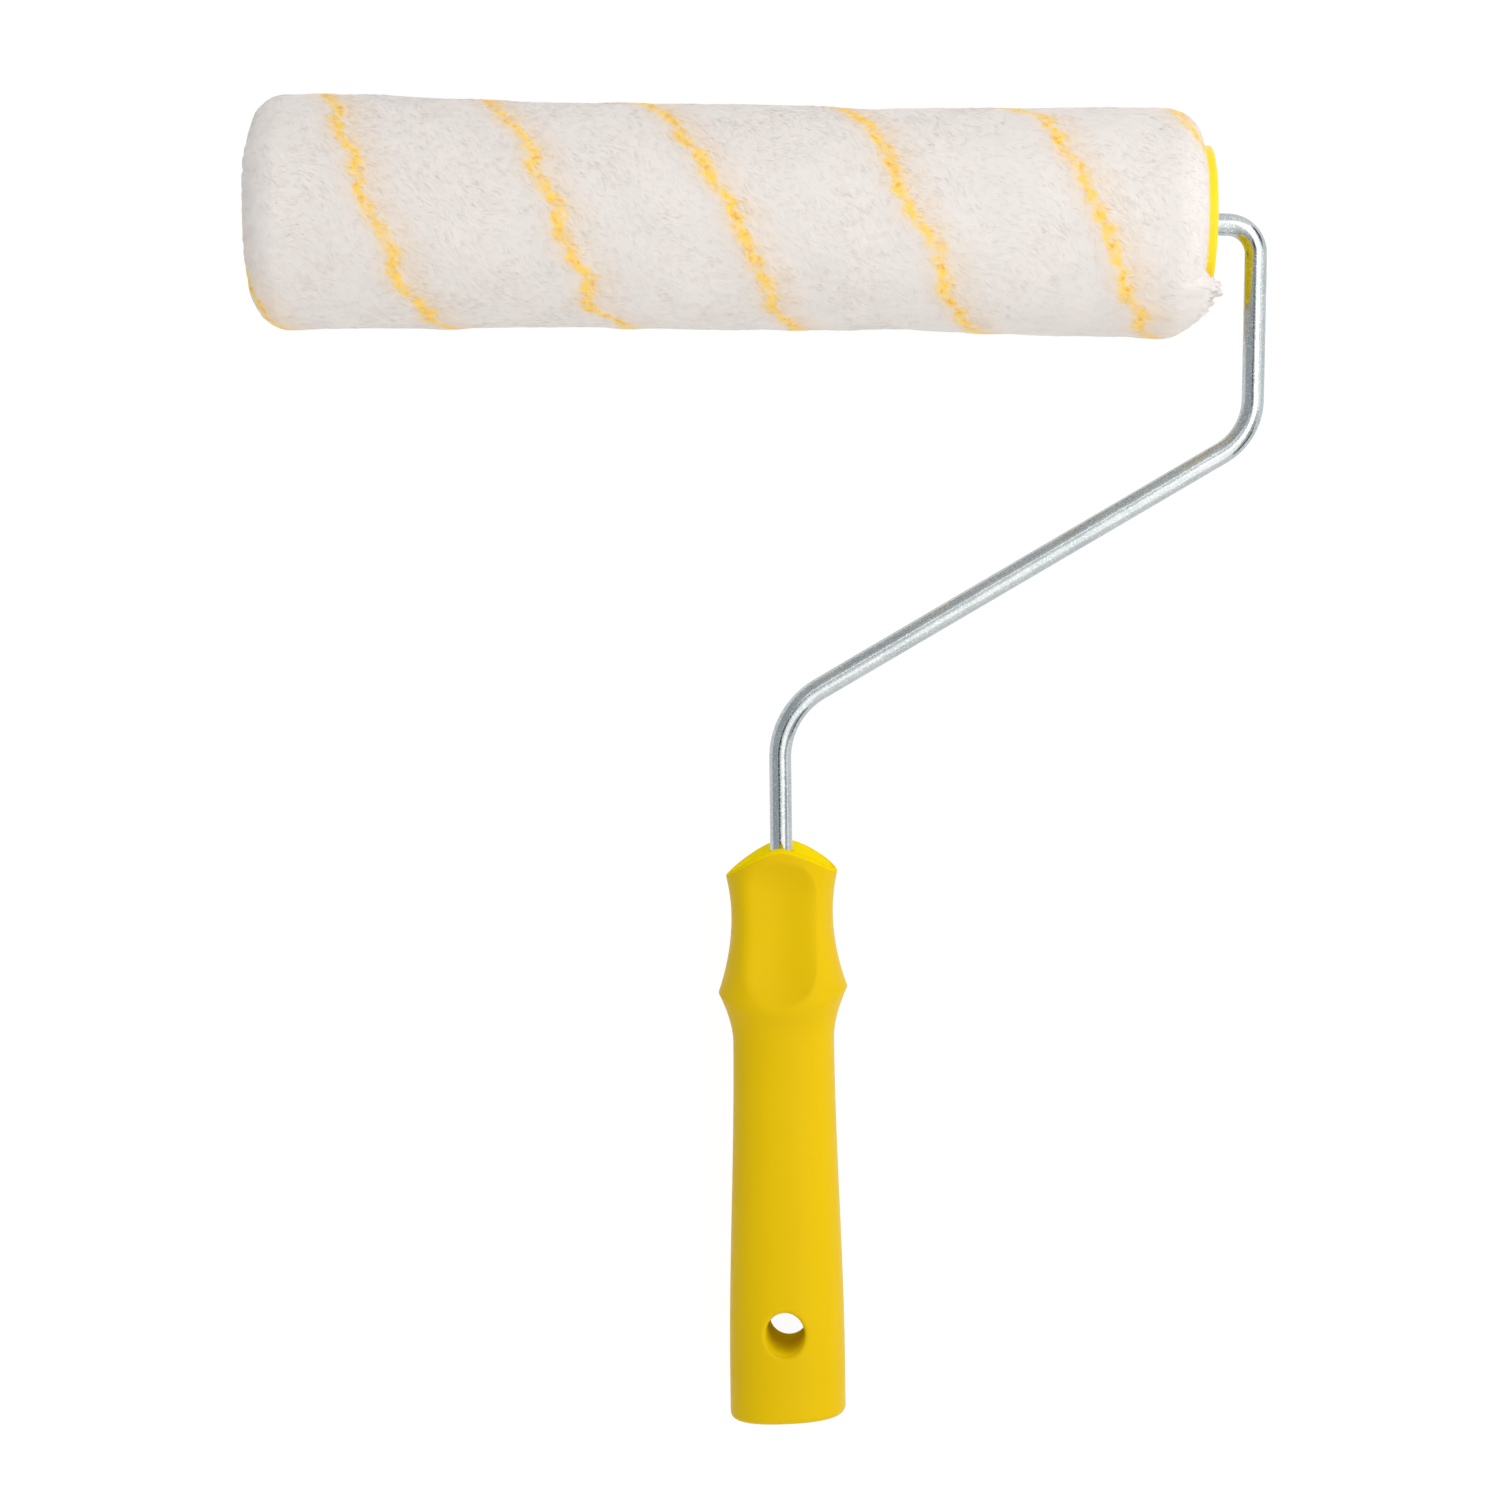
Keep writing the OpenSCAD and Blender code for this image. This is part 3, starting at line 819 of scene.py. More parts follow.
def wire_skin(sizes, handle, tip, reach, near_face):
    """Rows of points on the wire's skin in its own plane, each row's distance from the tip, and the angle
    of each point round the wire."""
    points, headings, run = wire_route(sizes, handle, tip, reach)
    wings = (near_face - sizes.well_depth + WASHER_ROOM - tip, run[-1] - sizes.wing_len - sizes.wire_d)
    wing_rows = np.linspace(-WING_SOFT, sizes.wing_len + WING_SOFT, WING_ROWS)
    end_rows = [END_CHAMFER / 2, run[-1] - END_CHAMFER / 2]
    dense = np.concatenate([run, *[wing + wing_rows for wing in wings], end_rows])
    dense = np.unique(np.round(dense, 7))
    points = np.stack([np.interp(dense, run, points[:, axis]) for axis in (0, 1)], axis=1)
    headings = np.interp(dense, run, headings)
    wide, thick, power = wire_rows(sizes, dense, wings)
    angles = np.arange(sizes.sides) * 2 * math.pi / sizes.sides
    sideways = signed_pow(np.cos(angles)[None, :], 2 / power[:, None]) * wide[:, None]
    through = signed_pow(np.sin(angles)[None, :], 2 / power[:, None]) * thick[:, None]
    x = points[:, None, 0] - np.sin(headings)[:, None] * sideways
    y = points[:, None, 1] + np.cos(headings)[:, None] * sideways
    return np.stack([x, y, through], axis=2), dense, angles


def along_the_wire(finish):
    """Coordinates that follow the wire: round it on X and Z, along it on Y."""
    return finish.joined(finish.value("side_cos"), finish.value("run"), finish.value("side_sin"))


def zinc_finish(name, colours, layout, drawn, roughness=0.12):
    """Bright zinc plate: drawing lines, a fine sparkle of crystals and faint clouds of passivation.
    layout gives coordinates in metres, and drawn is how much they shrink along the drawing lines."""
    finish = Finish(name)
    lines = finish.noise(0.35 * MM, 3.0, 0.6, finish.stretched(1.0, drawn, 1.0, layout(finish)))
    crystals = finish.noise(0.5 * MM, 1.0, 0.5)
    cloud = finish.noise(9 * MM, 3.0, 0.55)
    dull = opaque(shaded(colours.zinc, (0.84, 0.87, 0.88)))
    base = finish.blend(finish.fitted(cloud, 0.35, 0.7), dull, opaque(colours.zinc))
    bright = opaque(shaded(colours.zinc, 1.25))
    finish.link("Base Color", finish.blend(finish.fitted(crystals, 0.5, 0.72), base, bright))
    finish.link("Roughness", finish.fitted(lines, 0.3, 0.75, roughness - 0.04, roughness + 0.08))
    finish.bumps((lines, 0.15, 0.02 * MM), (crystals, 0.4, 0.06 * MM))
    finish.set(Metallic=1.0)
    return finish.material


class ROLLER_OT_wire_frame(bpy.types.Operator):
    """Sweeps the wire along its bends, with its swaged wings"""

    bl_idname = "roller.wire_frame"
    bl_label = "Wire frame"

    def execute(self, context):
        sizes = context.scene.roller_wire
        origin, axes = wire_plane()
        tip, reach, near_face = [(corner - origin).dot(axes[0]) for corner in (
            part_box("far_end_cap")[0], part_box("wire_frame")[1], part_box("near_end_cap")[1])]
        rows, run, angles = wire_skin(sizes, context.scene.roller_handle, tip + sizes.tip_inset,
                                      reach - sizes.wire_d / 2, near_face)
        shell = Shell(rows)
        shell.faces.append(tuple(range(sizes.sides))[::-1])
        shell.faces.append(tuple(range(len(shell.points) - sizes.sides, len(shell.points))))
        material = zinc_finish("zinc_wire_finish", context.scene.roller_colours, along_the_wire, 0.02)
        piece = new_piece("zinc_wire", placed(shell.points, origin, axes), shell.faces, material)
        write_values(piece.data, "run", np.repeat(run, sizes.sides))
        for name, wave in (("side_sin", np.sin(angles)), ("side_cos", np.cos(angles))):
            write_values(piece.data, name, np.tile(wave * sizes.wire_d / 2, len(run)))
        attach(piece, "frame")
        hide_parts("wire_frame")
        return {"FINISHED"}


# ---------------------------------------------------------------- caps, washers, push nut and core

def from_the_axle(finish):
    """Coordinates with the distance from the axle on X and the place along it on Z."""
    axle, _ = axle_line()
    parts = finish.split(finish.place)
    y = finish.maths("SUBTRACT", parts["Y"], axle.y)
    z = finish.maths("SUBTRACT", parts["Z"], axle.z)
    radius = finish.maths("SQRT", finish.maths("ADD", finish.product(y, y), finish.product(z, z)))
    return finish.joined(radius, 0.0, parts["X"])


def cap_finish(colours):
    """Glossy moulded plastic with faint turning marks from the mould."""
    finish = Finish("cap_plastic_finish")
    marks = finish.noise(0.45 * MM, 2.0, 0.5, from_the_axle(finish))
    finish.link("Base Color", finish.clouded(14 * MM, 3.0, 0.5, colours.cap, 0.96))
    finish.link("Roughness", finish.fitted(marks, 0.3, 0.7, 0.26, 0.36))
    finish.bumps((marks, 0.12, 0.04 * MM), (finish.noise(2.5 * MM), 0.15, 0.05 * MM))
    finish.set(IOR=1.46, Specular_IOR_Level=0.3)
    return finish.material


def spring_finish(colours):
    """Blued spring steel with straw and blue clouds from the temper."""
    finish = Finish("spring_steel_finish")
    temper = finish.noise(2.2 * MM, 3.0, 0.6)
    grain = finish.noise(0.25 * MM, 3.0, 0.6)
    straw = opaque(shaded(colours.spring, (1.5, 1.25, 0.9)))
    temper = finish.fitted(temper, 0.35, 0.65)
    finish.link("Base Color", finish.blend(temper, opaque(colours.spring), straw))
    finish.link("Roughness", finish.fitted(grain, 0.3, 0.7, 0.24, 0.42))
    finish.bumps((grain, 0.25, 0.03 * MM))
    finish.set(Metallic=1.0)
    return finish.material


def core_finish(colours):
    """Plain extruded plastic with fine lines along the tube."""
    finish = Finish("core_plastic_finish")
    lines = finish.noise(0.6 * MM, 3.0, 0.6, finish.stretched(0.02, 1.0, 1.0))
    dull = opaque(shaded(colours.core, 0.9))
    finish.link("Base Color", finish.blend(lines, dull, opaque(colours.core)))
    finish.link("Roughness", finish.fitted(lines, 0.3, 0.7, 0.45, 0.6))
    finish.bumps((lines, 0.3, 0.06 * MM))
    finish.set(IOR=1.49)
    return finish.material


def dress(node, material):
    """Gives a CAD node its finish."""
    mesh = frame["nodes"][node].data
    if not mesh.materials:
        mesh.materials.append(material)
    for index in range(len(mesh.materials)):
        mesh.materials[index] = material


class ROLLER_OT_end_caps(bpy.types.Operator):
    """Finishes the two end caps and the core tube between them"""

    bl_idname = "roller.end_caps"
    bl_label = "End caps and core"

    def execute(self, context):
        colours = context.scene.roller_colours
        cap = cap_finish(colours)
        for node in ("near_end_cap", "far_end_cap"):
            dress(node, cap)
        dress("core_tube", core_finish(colours))
        return {"FINISHED"}


class ROLLER_OT_axle_hardware(bpy.types.Operator):
    """Finishes the thrust washers and the push nut on the axle"""

    bl_idname = "roller.axle_hardware"
    bl_label = "Washers and push nut"

    def execute(self, context):
        colours = context.scene.roller_colours
        zinc = zinc_finish("zinc_washer_finish", colours, from_the_axle, 1.0, 0.3)
        for node in ("near_washer", "far_washer"):
            dress(node, zinc)
        dress("push_nut", spring_finish(colours))
        return {"FINISHED"}


# ---------------------------------------------------------------- pile cover

# Where the two marker stripes stand, as pairs of half turns round the sleeve and millimetres along the
# axle from the sleeve's far end.
MARKERS = (
    ((-2, -66.0), (-1, -23.0), (0, 17.0), (0.5, 33.0), (1, 52.7), (2, 96.0), (2.5, 127.0), (3, 145.3),
     (4, 196.0), (4.5, 224.0), (5, 239.3), (6, 286.5)),
    ((-2, -28.5), (-1, 9.1), (0, 59.4), (0.5, 80.1), (1, 99.5), (2, 150.8), (2.5, 176.0), (3, 195.2),
     (4, 238.0), (4.5, 262.0), (5, 288.0)),
)
# Places in millimetres past a stripe's two ends, and a first distance in metres, all clear of the sleeve.
BEFORE_STRIPE = -99.0
PAST_STRIPE = 399.0
FAR_OFF = 1.0
# How a stripe wanders off its helix: height in millimetres and pace in noise cells for each half turn,
# with how far apart the stripes and the paces are taken from the noise.
SWAYS = ((2.4, 3.5), (2.8, 8.0), (1.6, 19.0))
STRIPES_APART = 7.3
PACES_APART = 3.1
# Radius over the pile along the sleeve, as shares of its length and millimetres over the mean radius.
PROFILE = ((0.0, 1.1), (0.12, 0.8), (0.3, -0.35), (0.45, -0.3), (0.66, -1.0), (0.8, -0.2), (0.9, 0.3),
           (1.0, 0.2))
CAP_CLEARANCE = 0.08 * MM
# Noise on the pile: sizes of its lumps, and a low ridge beside each stripe.
LUMP_SIZE = 21 * MM
SMALL_LUMP_SIZE = 8 * MM
SMALL_LUMP_SHARE = 0.3
FINE_SIZE = 2.2 * MM
FINE_HEIGHT = 0.12 * MM
RIDGE_HEIGHT = 0.3 * MM
RIDGE_MIDDLE = -1.5 * MM
RIDGE_REACH = 8 * MM
# The tuft that was brushed out of the near end: angles from the edge away from the handle, shares of the
# rounded end over which it rises and falls, and how ragged it is.
TUFT_START = math.radians(130)
TUFT_PEAK = math.radians(135)
TUFT_END = math.radians(180)
TUFT_RISES = 0.4
TUFT_FALLS = 0.5
TUFT_PACE = 19.0
TUFT_FINE = 0.25
TUFT_RAGGED = 0.5
# How far the rounded ends stray along the axle, and by what share at the far end and the near one.
END_FINE = 0.7 * MM
END_LUMPS = 0.8 * MM
END_FAR = -1.0
END_NEAR = 0.2
END_ROWS = 34
# How far the fibres turn from square to the axle towards facing out of the sleeve's ends.
END_TURN = math.radians(81)
FIBRE_SEED = 11
# How fibres lie: rise off the skin for guard hairs and for the rest, slant round the sleeve and along it.
GUARD_RISE = (0.06, 0.2)
FIBRE_RISE = (0.008, 0.03)
SLANT_ROUND = 0.35
SLANT_WAVE = 0.6
SLANT_WAVE_SIZE = 9 * MM
SLANT_ALONG = 0.55
SLANT_SPREAD = 0.16
# Lengths as shares of the set one, the share of the turn that shortens them at the ends, and how deep
# their roots start.
FIBRE_LENGTHS = (0.5, 1.15)
END_SHORTER = 0.55
ROOT_DEPTH = 0.02 * MM
MARKER_FRAY = 1.0 * MM
FIBRE_DARK = 0.93
FIBRE_LIGHT = 1.06


class Sleeve:
    """The pile's outer surface. A point of it has a place t from 0 to 1 along the outline, from the far
    cap over the pile to the near cap, and an angle round the axle from the edge away from the handle."""

    def __init__(self, sizes):
        self.sizes = sizes
        self.axle, _ = axle_line()
        core_low, core_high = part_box("core_tube")
        cap_low, cap_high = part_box("near_end_cap")
        self.inner = (cap_high.z - cap_low.z) / 2 + CAP_CLEARANCE
        self.mean = sizes.pile_d / 2
        self.low = core_low.x - sizes.far_proud
        self.high = core_high.x + sizes.near_proud
        self.straight = self.high - self.low - 2 * sizes.end_axial
        corner = math.hypot(self.mean - self.inner, sizes.end_axial)
        whole_outline = 2 * corner + self.straight
        self.far_end = corner / whole_outline
        self.near_start = (corner + self.straight) / whole_outline

    def far_share(self, t):
        """0 at the far cap's edge, 1 where the far end's rounding meets the straight pile."""
        return np.clip(t / self.far_end, 0, 1)

    def near_share(self, t):
        """0 where the near end's rounding starts, 1 at the near cap's edge."""
        return np.clip((t - self.near_start) / (1 - self.near_start), 0, 1)

    def outline(self, t):
        """Place along the axle and share of the way from the inner radius to the pile's."""
        first = self.far_share(t) * math.pi / 2
        last = self.near_share(t) * math.pi / 2
        middle = np.clip((t - self.far_end) / (self.near_start - self.far_end), 0, 1)
        x = self.low + middle * self.straight
        x = x + self.sizes.end_axial * (1 - np.cos(first) + np.sin(last))
        rise = np.minimum(np.sin(first), np.cos(last))
        return x, rise

    def marker(self, x, angle):
        """Signed distance along the axle from the nearest marker stripe."""
        turn = np.mod(angle, 2 * math.pi) / math.pi
        nearest = np.full_like(x, FAR_OFF)
        for line, path in enumerate(MARKERS):
            turns, places = zip(*path)
            for lap in range(-1, 4):
                step = turn + 2 * lap
                crossing = np.interp(step, turns, places, left=BEFORE_STRIPE, right=PAST_STRIPE) * MM
                gap = x - self.low - crossing - self.sway(step, line)
                nearest = np.where(np.abs(gap) < np.abs(nearest), gap, nearest)
        return nearest

    def sway(self, step, line):
        """How far a marker stripe wanders off its helix."""
        spots = np.stack([step, np.full_like(step, STRIPES_APART * line), np.zeros_like(step)], axis=1)
        return sum(height * MM * noise_at(spots, pace, PACES_APART * pace) for height, pace in SWAYS)

    def surface(self, t, angle):
        """Place along the axle, radius and marker distance of points on the lumpy pile."""
        x, rise = self.outline(t)
        share = (x - self.low) / (self.high - self.low)
        over = np.interp(share, [p[0] for p in PROFILE], [p[1] for p in PROFILE]) * MM
        spots = np.stack([x, self.mean * np.cos(angle), self.mean * np.sin(angle)], axis=1)
        lumps = noise_at(spots, 1 / LUMP_SIZE)
        lumps = lumps + SMALL_LUMP_SHARE * noise_at(spots, 1 / SMALL_LUMP_SIZE, 5.0)
        fine = noise_at(spots, 1 / FINE_SIZE, 9.0)
        marker = self.marker(x, angle)
        ridge = RIDGE_HEIGHT * bell((marker - RIDGE_MIDDLE) / RIDGE_REACH)
        height = over + self.sizes.lump * lumps + FINE_HEIGHT * fine + ridge
        radius = self.inner + (self.mean - self.inner + height) * rise
        stray = (END_FINE * fine + END_LUMPS * lumps) * np.where(t < 0.5, END_FAR, END_NEAR)
        x = x + self.tuft(t, angle, fine) + stray * 4 * rise * (1 - rise)
        return x, radius, marker

    def tuft(self, t, angle, fine):
        """How far the brushed tuft draws the pile out along the axle."""
        turn = np.mod(angle, 2 * math.pi)
        pull = ease((turn - TUFT_START) / (TUFT_PEAK - TUFT_START))
        pull = pull * np.clip((TUFT_END - turn) / (TUFT_END - TUFT_PEAK), 0, 1)
        end = self.near_share(t)
        pull = pull * ease(end / TUFT_RISES) * ease((1 - end) / TUFT_FALLS)
        ragged = noise_at(np.stack([turn, end, end], axis=1), TUFT_PACE)
        return self.sizes.tuft * pull * (1 + TUFT_FINE * fine + TUFT_RAGGED * ragged)

    def placed(self, x, radius, angle):
        """Points in the frame from the place along the axle, the radius and the angle."""
        y = self.axle.y + radius * np.cos(angle)
        return np.stack([x, y, self.axle.z + radius * np.sin(angle)], axis=1)


def pile_material(colours, name, fibrous):
    """Soft pile: off-white with faint clouds, and ragged marker stripes that tint the pile beside them.
    A fibrous one varies from fibre to fibre, and a plain one is felted by bumps."""
    finish = Finish(name)
    marker = finish.value("marker")
    warp = finish.maths("SUBTRACT", finish.noise(2.6 * MM, 2.0, 0.6), 0.5)
    ragged = finish.maths("ADD", marker, finish.product(warp, 5.2 * MM))
    white = finish.clouded(12 * MM, 3.0, 0.5, colours.pile, 0.975)
    # 0 halfway between two stripes, where the signed distance jumps from one stripe's to the next one's.
    own = finish.fitted(finish.value("clear"), 15 * MM, 17 * MM, 1.0, 0.0)
    far_side = finish.fitted(marker, -8 * MM, 0.0)
    near_side = finish.fitted(marker, 0.0, 13 * MM, 1.0, 0.0)
    patches = finish.fitted(finish.noise(5 * MM), 0.3, 0.65, 0.5, 1.0)
    glow = finish.product(far_side, near_side, own, patches)
    tinted = finish.blend(glow, white, opaque(colours.blush))
    breaks = finish.fitted(finish.noise(3.2 * MM), 0.34, 0.56, 0.5, 1.0)
    core = finish.fitted(finish.maths("ABSOLUTE", ragged), 0.1 * MM, 3.1 * MM, 1.0, 0.0)
    core = finish.product(core, own)
    knots = finish.product(finish.fitted(finish.noise(1.9 * MM, 1.0, 0.4), 0.54, 0.7), core)
    thread = finish.blend(knots, opaque(colours.marker), opaque(colours.knot))
    flat = finish.blend(finish.product(core, breaks), tinted, thread)
    if fibrous:
        shade = finish.blend(finish.value("shade"), grey(FIBRE_DARK), grey(FIBRE_LIGHT))
        finish.link("Base Color", finish.blend(1.0, flat, shade, "MULTIPLY"))
    else:
        finish.link("Base Color", flat)
        felt = finish.noise(0.6 * MM, 3.0, 0.6)
        tufts = finish.noise(2.8 * MM, 2.0, 0.5)
        finish.bumps((tufts, 0.1, 0.3 * MM), (felt, 0.3, 0.08 * MM))
    finish.set(Roughness=0.95, IOR=1.45, Specular_IOR_Level=0.1, Sheen_Weight=0.12, Sheen_Roughness=0.5)
    return finish.material


class ROLLER_OT_pile_cover(bpy.types.Operator):
    """Builds the lumpy skin of the pile with its rounded ends and brushed tuft"""

    bl_idname = "roller.pile_cover"
    bl_label = "Pile cover"

    def execute(self, context):
        sizes = context.scene.roller_pile
        sleeve = Sleeve(sizes)
        t = np.concatenate([np.linspace(0, sleeve.far_end, END_ROWS, endpoint=False),
                            np.linspace(sleeve.far_end, sleeve.near_start, sizes.along, endpoint=False),
                            np.linspace(sleeve.near_start, 1, END_ROWS)])
        angle = np.arange(sizes.around) * 2 * math.pi / sizes.around
        grid_t, grid_a = [part.ravel() for part in np.meshgrid(t, angle, indexing="ij")]
        x, radius, marker = sleeve.surface(grid_t, grid_a)
        shell = Shell(sleeve.placed(x, radius, grid_a).reshape(len(t), sizes.around, 3))
        first_row = range(sizes.around)
        last_row = range(len(shell.points) - sizes.around, len(shell.points))
        shell.bridge([last_row, first_row])
        material = pile_material(context.scene.roller_colours, "pile_skin_finish", False)
        piece = new_piece("pile_skin", shell.points, shell.faces, material)
        write_values(piece.data, "marker", marker)
        write_values(piece.data, "clear", np.abs(marker))
        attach(piece, "sleeve")
        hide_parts("pile_cover")
        return {"FINISHED"}


class ROLLER_OT_pile_fibres(bpy.types.Operator):
    """Plants the pile's fibres as fine closed spikes, in three lengths of the sleeve"""

    bl_idname = "roller.pile_fibres"
    bl_label = "Pile fibres"

    def execute(self, context):
        sizes = context.scene.roller_pile
        sleeve = Sleeve(sizes)
        material = pile_material(context.scene.roller_colours, "pile_fibre_finish", True)
        rng = np.random.default_rng(FIBRE_SEED)
        cuts = np.linspace(0, 1, 4)
        for third, name in enumerate(("pile_fibres_far", "pile_fibres_middle", "pile_fibres_near")):
            t = rng.uniform(cuts[third], cuts[third + 1], sizes.fibres)
            angle = rng.uniform(0, 2 * math.pi, sizes.fibres)
            piece = fibre_piece(sizes, sleeve, name, t, angle, rng, material)
            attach(piece, "sleeve")
        return {"FINISHED"}


def fibre_piece(sizes, sleeve, name, t, angle, rng, material):
    """One mesh of spikes with three sides and a closed root, each rooted in the skin."""
    count = len(t)
    x, radius, marker = sleeve.surface(t, angle)
    root = sleeve.placed(x, radius, angle)
    outward = np.stack([np.zeros(count), np.cos(angle), np.sin(angle)], axis=1)
    around = np.stack([np.zeros(count), -np.sin(angle), np.cos(angle)], axis=1)
    axial = np.tile([1.0, 0.0, 0.0], (count, 1))
    facing = (sleeve.near_share(t) + sleeve.far_share(t) - 1) * END_TURN
    normal = outward * np.cos(facing)[:, None] + axial * np.sin(facing)[:, None]
    endward = axial * np.cos(facing)[:, None] - outward * np.sin(facing)[:, None]
    lean = noise_at(root, 1 / SLANT_WAVE_SIZE, 21.0)
    guard = rng.random(count) < sizes.guard_share
    rise = np.where(guard, rng.uniform(*GUARD_RISE, count), rng.uniform(*FIBRE_RISE, count))
    push = normal * rise[:, None]
    push += around * (SLANT_WAVE * lean + rng.normal(SLANT_ROUND, SLANT_SPREAD, count))[:, None]
    push += endward * (SLANT_ALONG + rng.normal(0.0, SLANT_SPREAD, count))[:, None]
    push /= np.linalg.norm(push, axis=1)[:, None]
    size = sizes.fibre_len * rng.uniform(*FIBRE_LENGTHS, count) * np.cos(facing * END_SHORTER)
    root = root - normal * ROOT_DEPTH
    flank = np.cross(push, normal)
    flank *= sizes.fibre_r / np.linalg.norm(flank, axis=1)[:, None]
    verts = np.empty((count, 4, 3))
    verts[:, 0] = root - flank
    verts[:, 1] = root + flank
    verts[:, 2] = root + normal * (0.2 * sizes.fibre_r)
    verts[:, 3] = root + push * size[:, None]
    spike = np.array([[0, 1, 3], [1, 2, 3], [2, 0, 3], [0, 2, 1]])
    faces = (np.arange(count)[:, None, None] * 4 + spike[None]).reshape(-1, 3)
    mesh = bpy.data.meshes.new(name)
    mesh.vertices.add(count * 4)
    mesh.vertices.foreach_set("co", verts.astype(np.float32).ravel())
    mesh.loops.add(len(faces) * 3)
    mesh.loops.foreach_set("vertex_index", faces.astype(np.int32).ravel())
    mesh.polygons.add(len(faces))
    mesh.polygons.foreach_set("loop_start", np.arange(len(faces), dtype=np.int32) * 3)
    mesh.update()
    mesh.polygons.foreach_set("use_smooth", np.zeros(len(faces), bool))
    mesh.materials.append(material)
    write_values(mesh, "marker", np.repeat(marker + rng.normal(0.0, MARKER_FRAY, count), 4))
    write_values(mesh, "clear", np.repeat(np.abs(marker), 4))
    write_values(mesh, "shade", np.repeat(rng.random(count), 4))
    return linked(name, mesh)


# ---------------------------------------------------------------- stage

# How much of the floor glows like a light table and how much is plain paper, for the light that falls on
# the roller and for what the camera sees.
FLOOR_GLOW = 0.14
FLOOR_PAPER = 0.85
FLOOR_GLOW_SEEN = 0.95
FLOOR_PAPER_SEEN = 0.08
FLOOR_REACH = 6.0
LEFT_TINT = (0.94, 0.99, 1.03)
RIGHT_TINT = (1.03, 0.99, 0.96)
# Patches of the room that metal shows as lines: middle and half size by the direction's X and Y, softness
# of the edge, turn about Z and brightness.
ROOM_PATCHES = (
    {"middle": (0.8, 0.0), "half": (0.13, 0.7), "edge": 0.03, "turn": 0.0, "level": 0.1},
    {"middle": (-0.22, -0.06), "half": (0.14, 0.1), "edge": 0.02, "turn": 0.0, "level": 0.0},
    {"middle": (-0.11, 0.36), "half": (0.22, 0.04), "edge": 0.02, "turn": math.radians(31), "level": 2.2},
)
KEY_PLACE = Vector((0.85, -0.2, 0.95))
KEY_SIZE = 1.6
FILL_PLACE = Vector((0.4, 0.25, 0.4))
FILL_SIZE = 0.55
SENSOR_MM = 36.0


def floor_material():
    """White to the camera, to mirrors and through glass, with a faint shadow, and a soft light table."""
    material = bpy.data.materials.new("floor_finish")
    floor = Nodes(material)
    floor.tree.nodes.clear()
    ray = floor.add("ShaderNodeLightPath").outputs
    seen = floor.maths("MAXIMUM", ray["Is Camera Ray"], ray["Is Glossy Ray"])
    seen = floor.maths("MAXIMUM", seen, ray["Is Transmission Ray"])
    glow = floor.add("ShaderNodeEmission")
    level = floor.fitted(seen, 0.0, 1.0, FLOOR_GLOW, FLOOR_GLOW_SEEN, smooth=False)
    floor.feed(glow.inputs["Strength"], level)
    paper = floor.add("ShaderNodeBsdfDiffuse")
    level = floor.fitted(seen, 0.0, 1.0, FLOOR_PAPER, FLOOR_PAPER_SEEN, smooth=False)
    floor.feed(paper.inputs["Color"], level)
    both = floor.add("ShaderNodeAddShader")
    floor.feed(both.inputs[0], glow.outputs[0])
    floor.feed(both.inputs[1], paper.outputs[0])
    floor.feed(floor.add("ShaderNodeOutputMaterial").inputs["Surface"], both.outputs[0])
    return material


def within(room, direction, patch):
    """1 for directions inside a soft-edged patch of the room and 0 outside it."""
    turned = room.add("ShaderNodeMapping", vector_type="TEXTURE")
    room.feed(turned.inputs["Vector"], direction)
    room.feed(turned.inputs["Location"], (*patch["middle"], 0.0))
    room.feed(turned.inputs["Rotation"], (0.0, 0.0, patch["turn"]))
    parts = room.split(turned.outputs["Vector"])
    shares = []
    for axis, half in zip("XY", patch["half"]):
        off = room.maths("ABSOLUTE", parts[axis])
        shares.append(room.fitted(off, half - patch["edge"], half + patch["edge"], 1.0, 0.0))
    return room.product(*shares)


def room_light(studio):
    """A soft room, brighter on the right, with dark patches and a bright bar that metal shows as thin
    lines, and plain white where the camera sees it."""
    world = bpy.data.worlds.new("studio")
    bpy.context.scene.world = world
    room = Nodes(world)
    room.tree.nodes.clear()
    direction = room.add("ShaderNodeTexCoord").outputs["Generated"]
    rightward = room.fitted(room.split(direction)["X"], -0.5, 0.1)
    left, right = [opaque([level * part for part in tint]) for level, tint in
                   ((studio.sky_left, LEFT_TINT), (studio.sky_right, RIGHT_TINT))]
    light = room.blend(rightward, left, right)
    for patch in ROOM_PATCHES:
        light = room.blend(within(room, direction, patch), light, grey(patch["level"]))
    lit, white = room.add("ShaderNodeBackground"), room.add("ShaderNodeBackground")
    room.feed(lit.inputs["Color"], light)
    room.feed(white.inputs["Color"], grey(1.0))
    for background in (lit, white):
        room.feed(background.inputs["Strength"], 1.0)
    mix = room.add("ShaderNodeMixShader")
    room.feed(mix.inputs["Fac"], room.add("ShaderNodeLightPath").outputs["Is Camera Ray"])
    room.feed(mix.inputs[1], lit.outputs[0])
    room.feed(mix.inputs[2], white.outputs[0])
    room.feed(room.add("ShaderNodeOutputWorld").inputs["Surface"], mix.outputs[0])


def soft_light(name, place, target, size, power):
    """A soft square lamp aimed at a point."""
    data = bpy.data.lights.new(name, "AREA")
    data.size = size
    data.energy = power
    lamp = linked(name, data)
    lamp.location = place
    lamp.rotation_euler = (target - place).to_track_quat("-Z", "Y").to_euler()


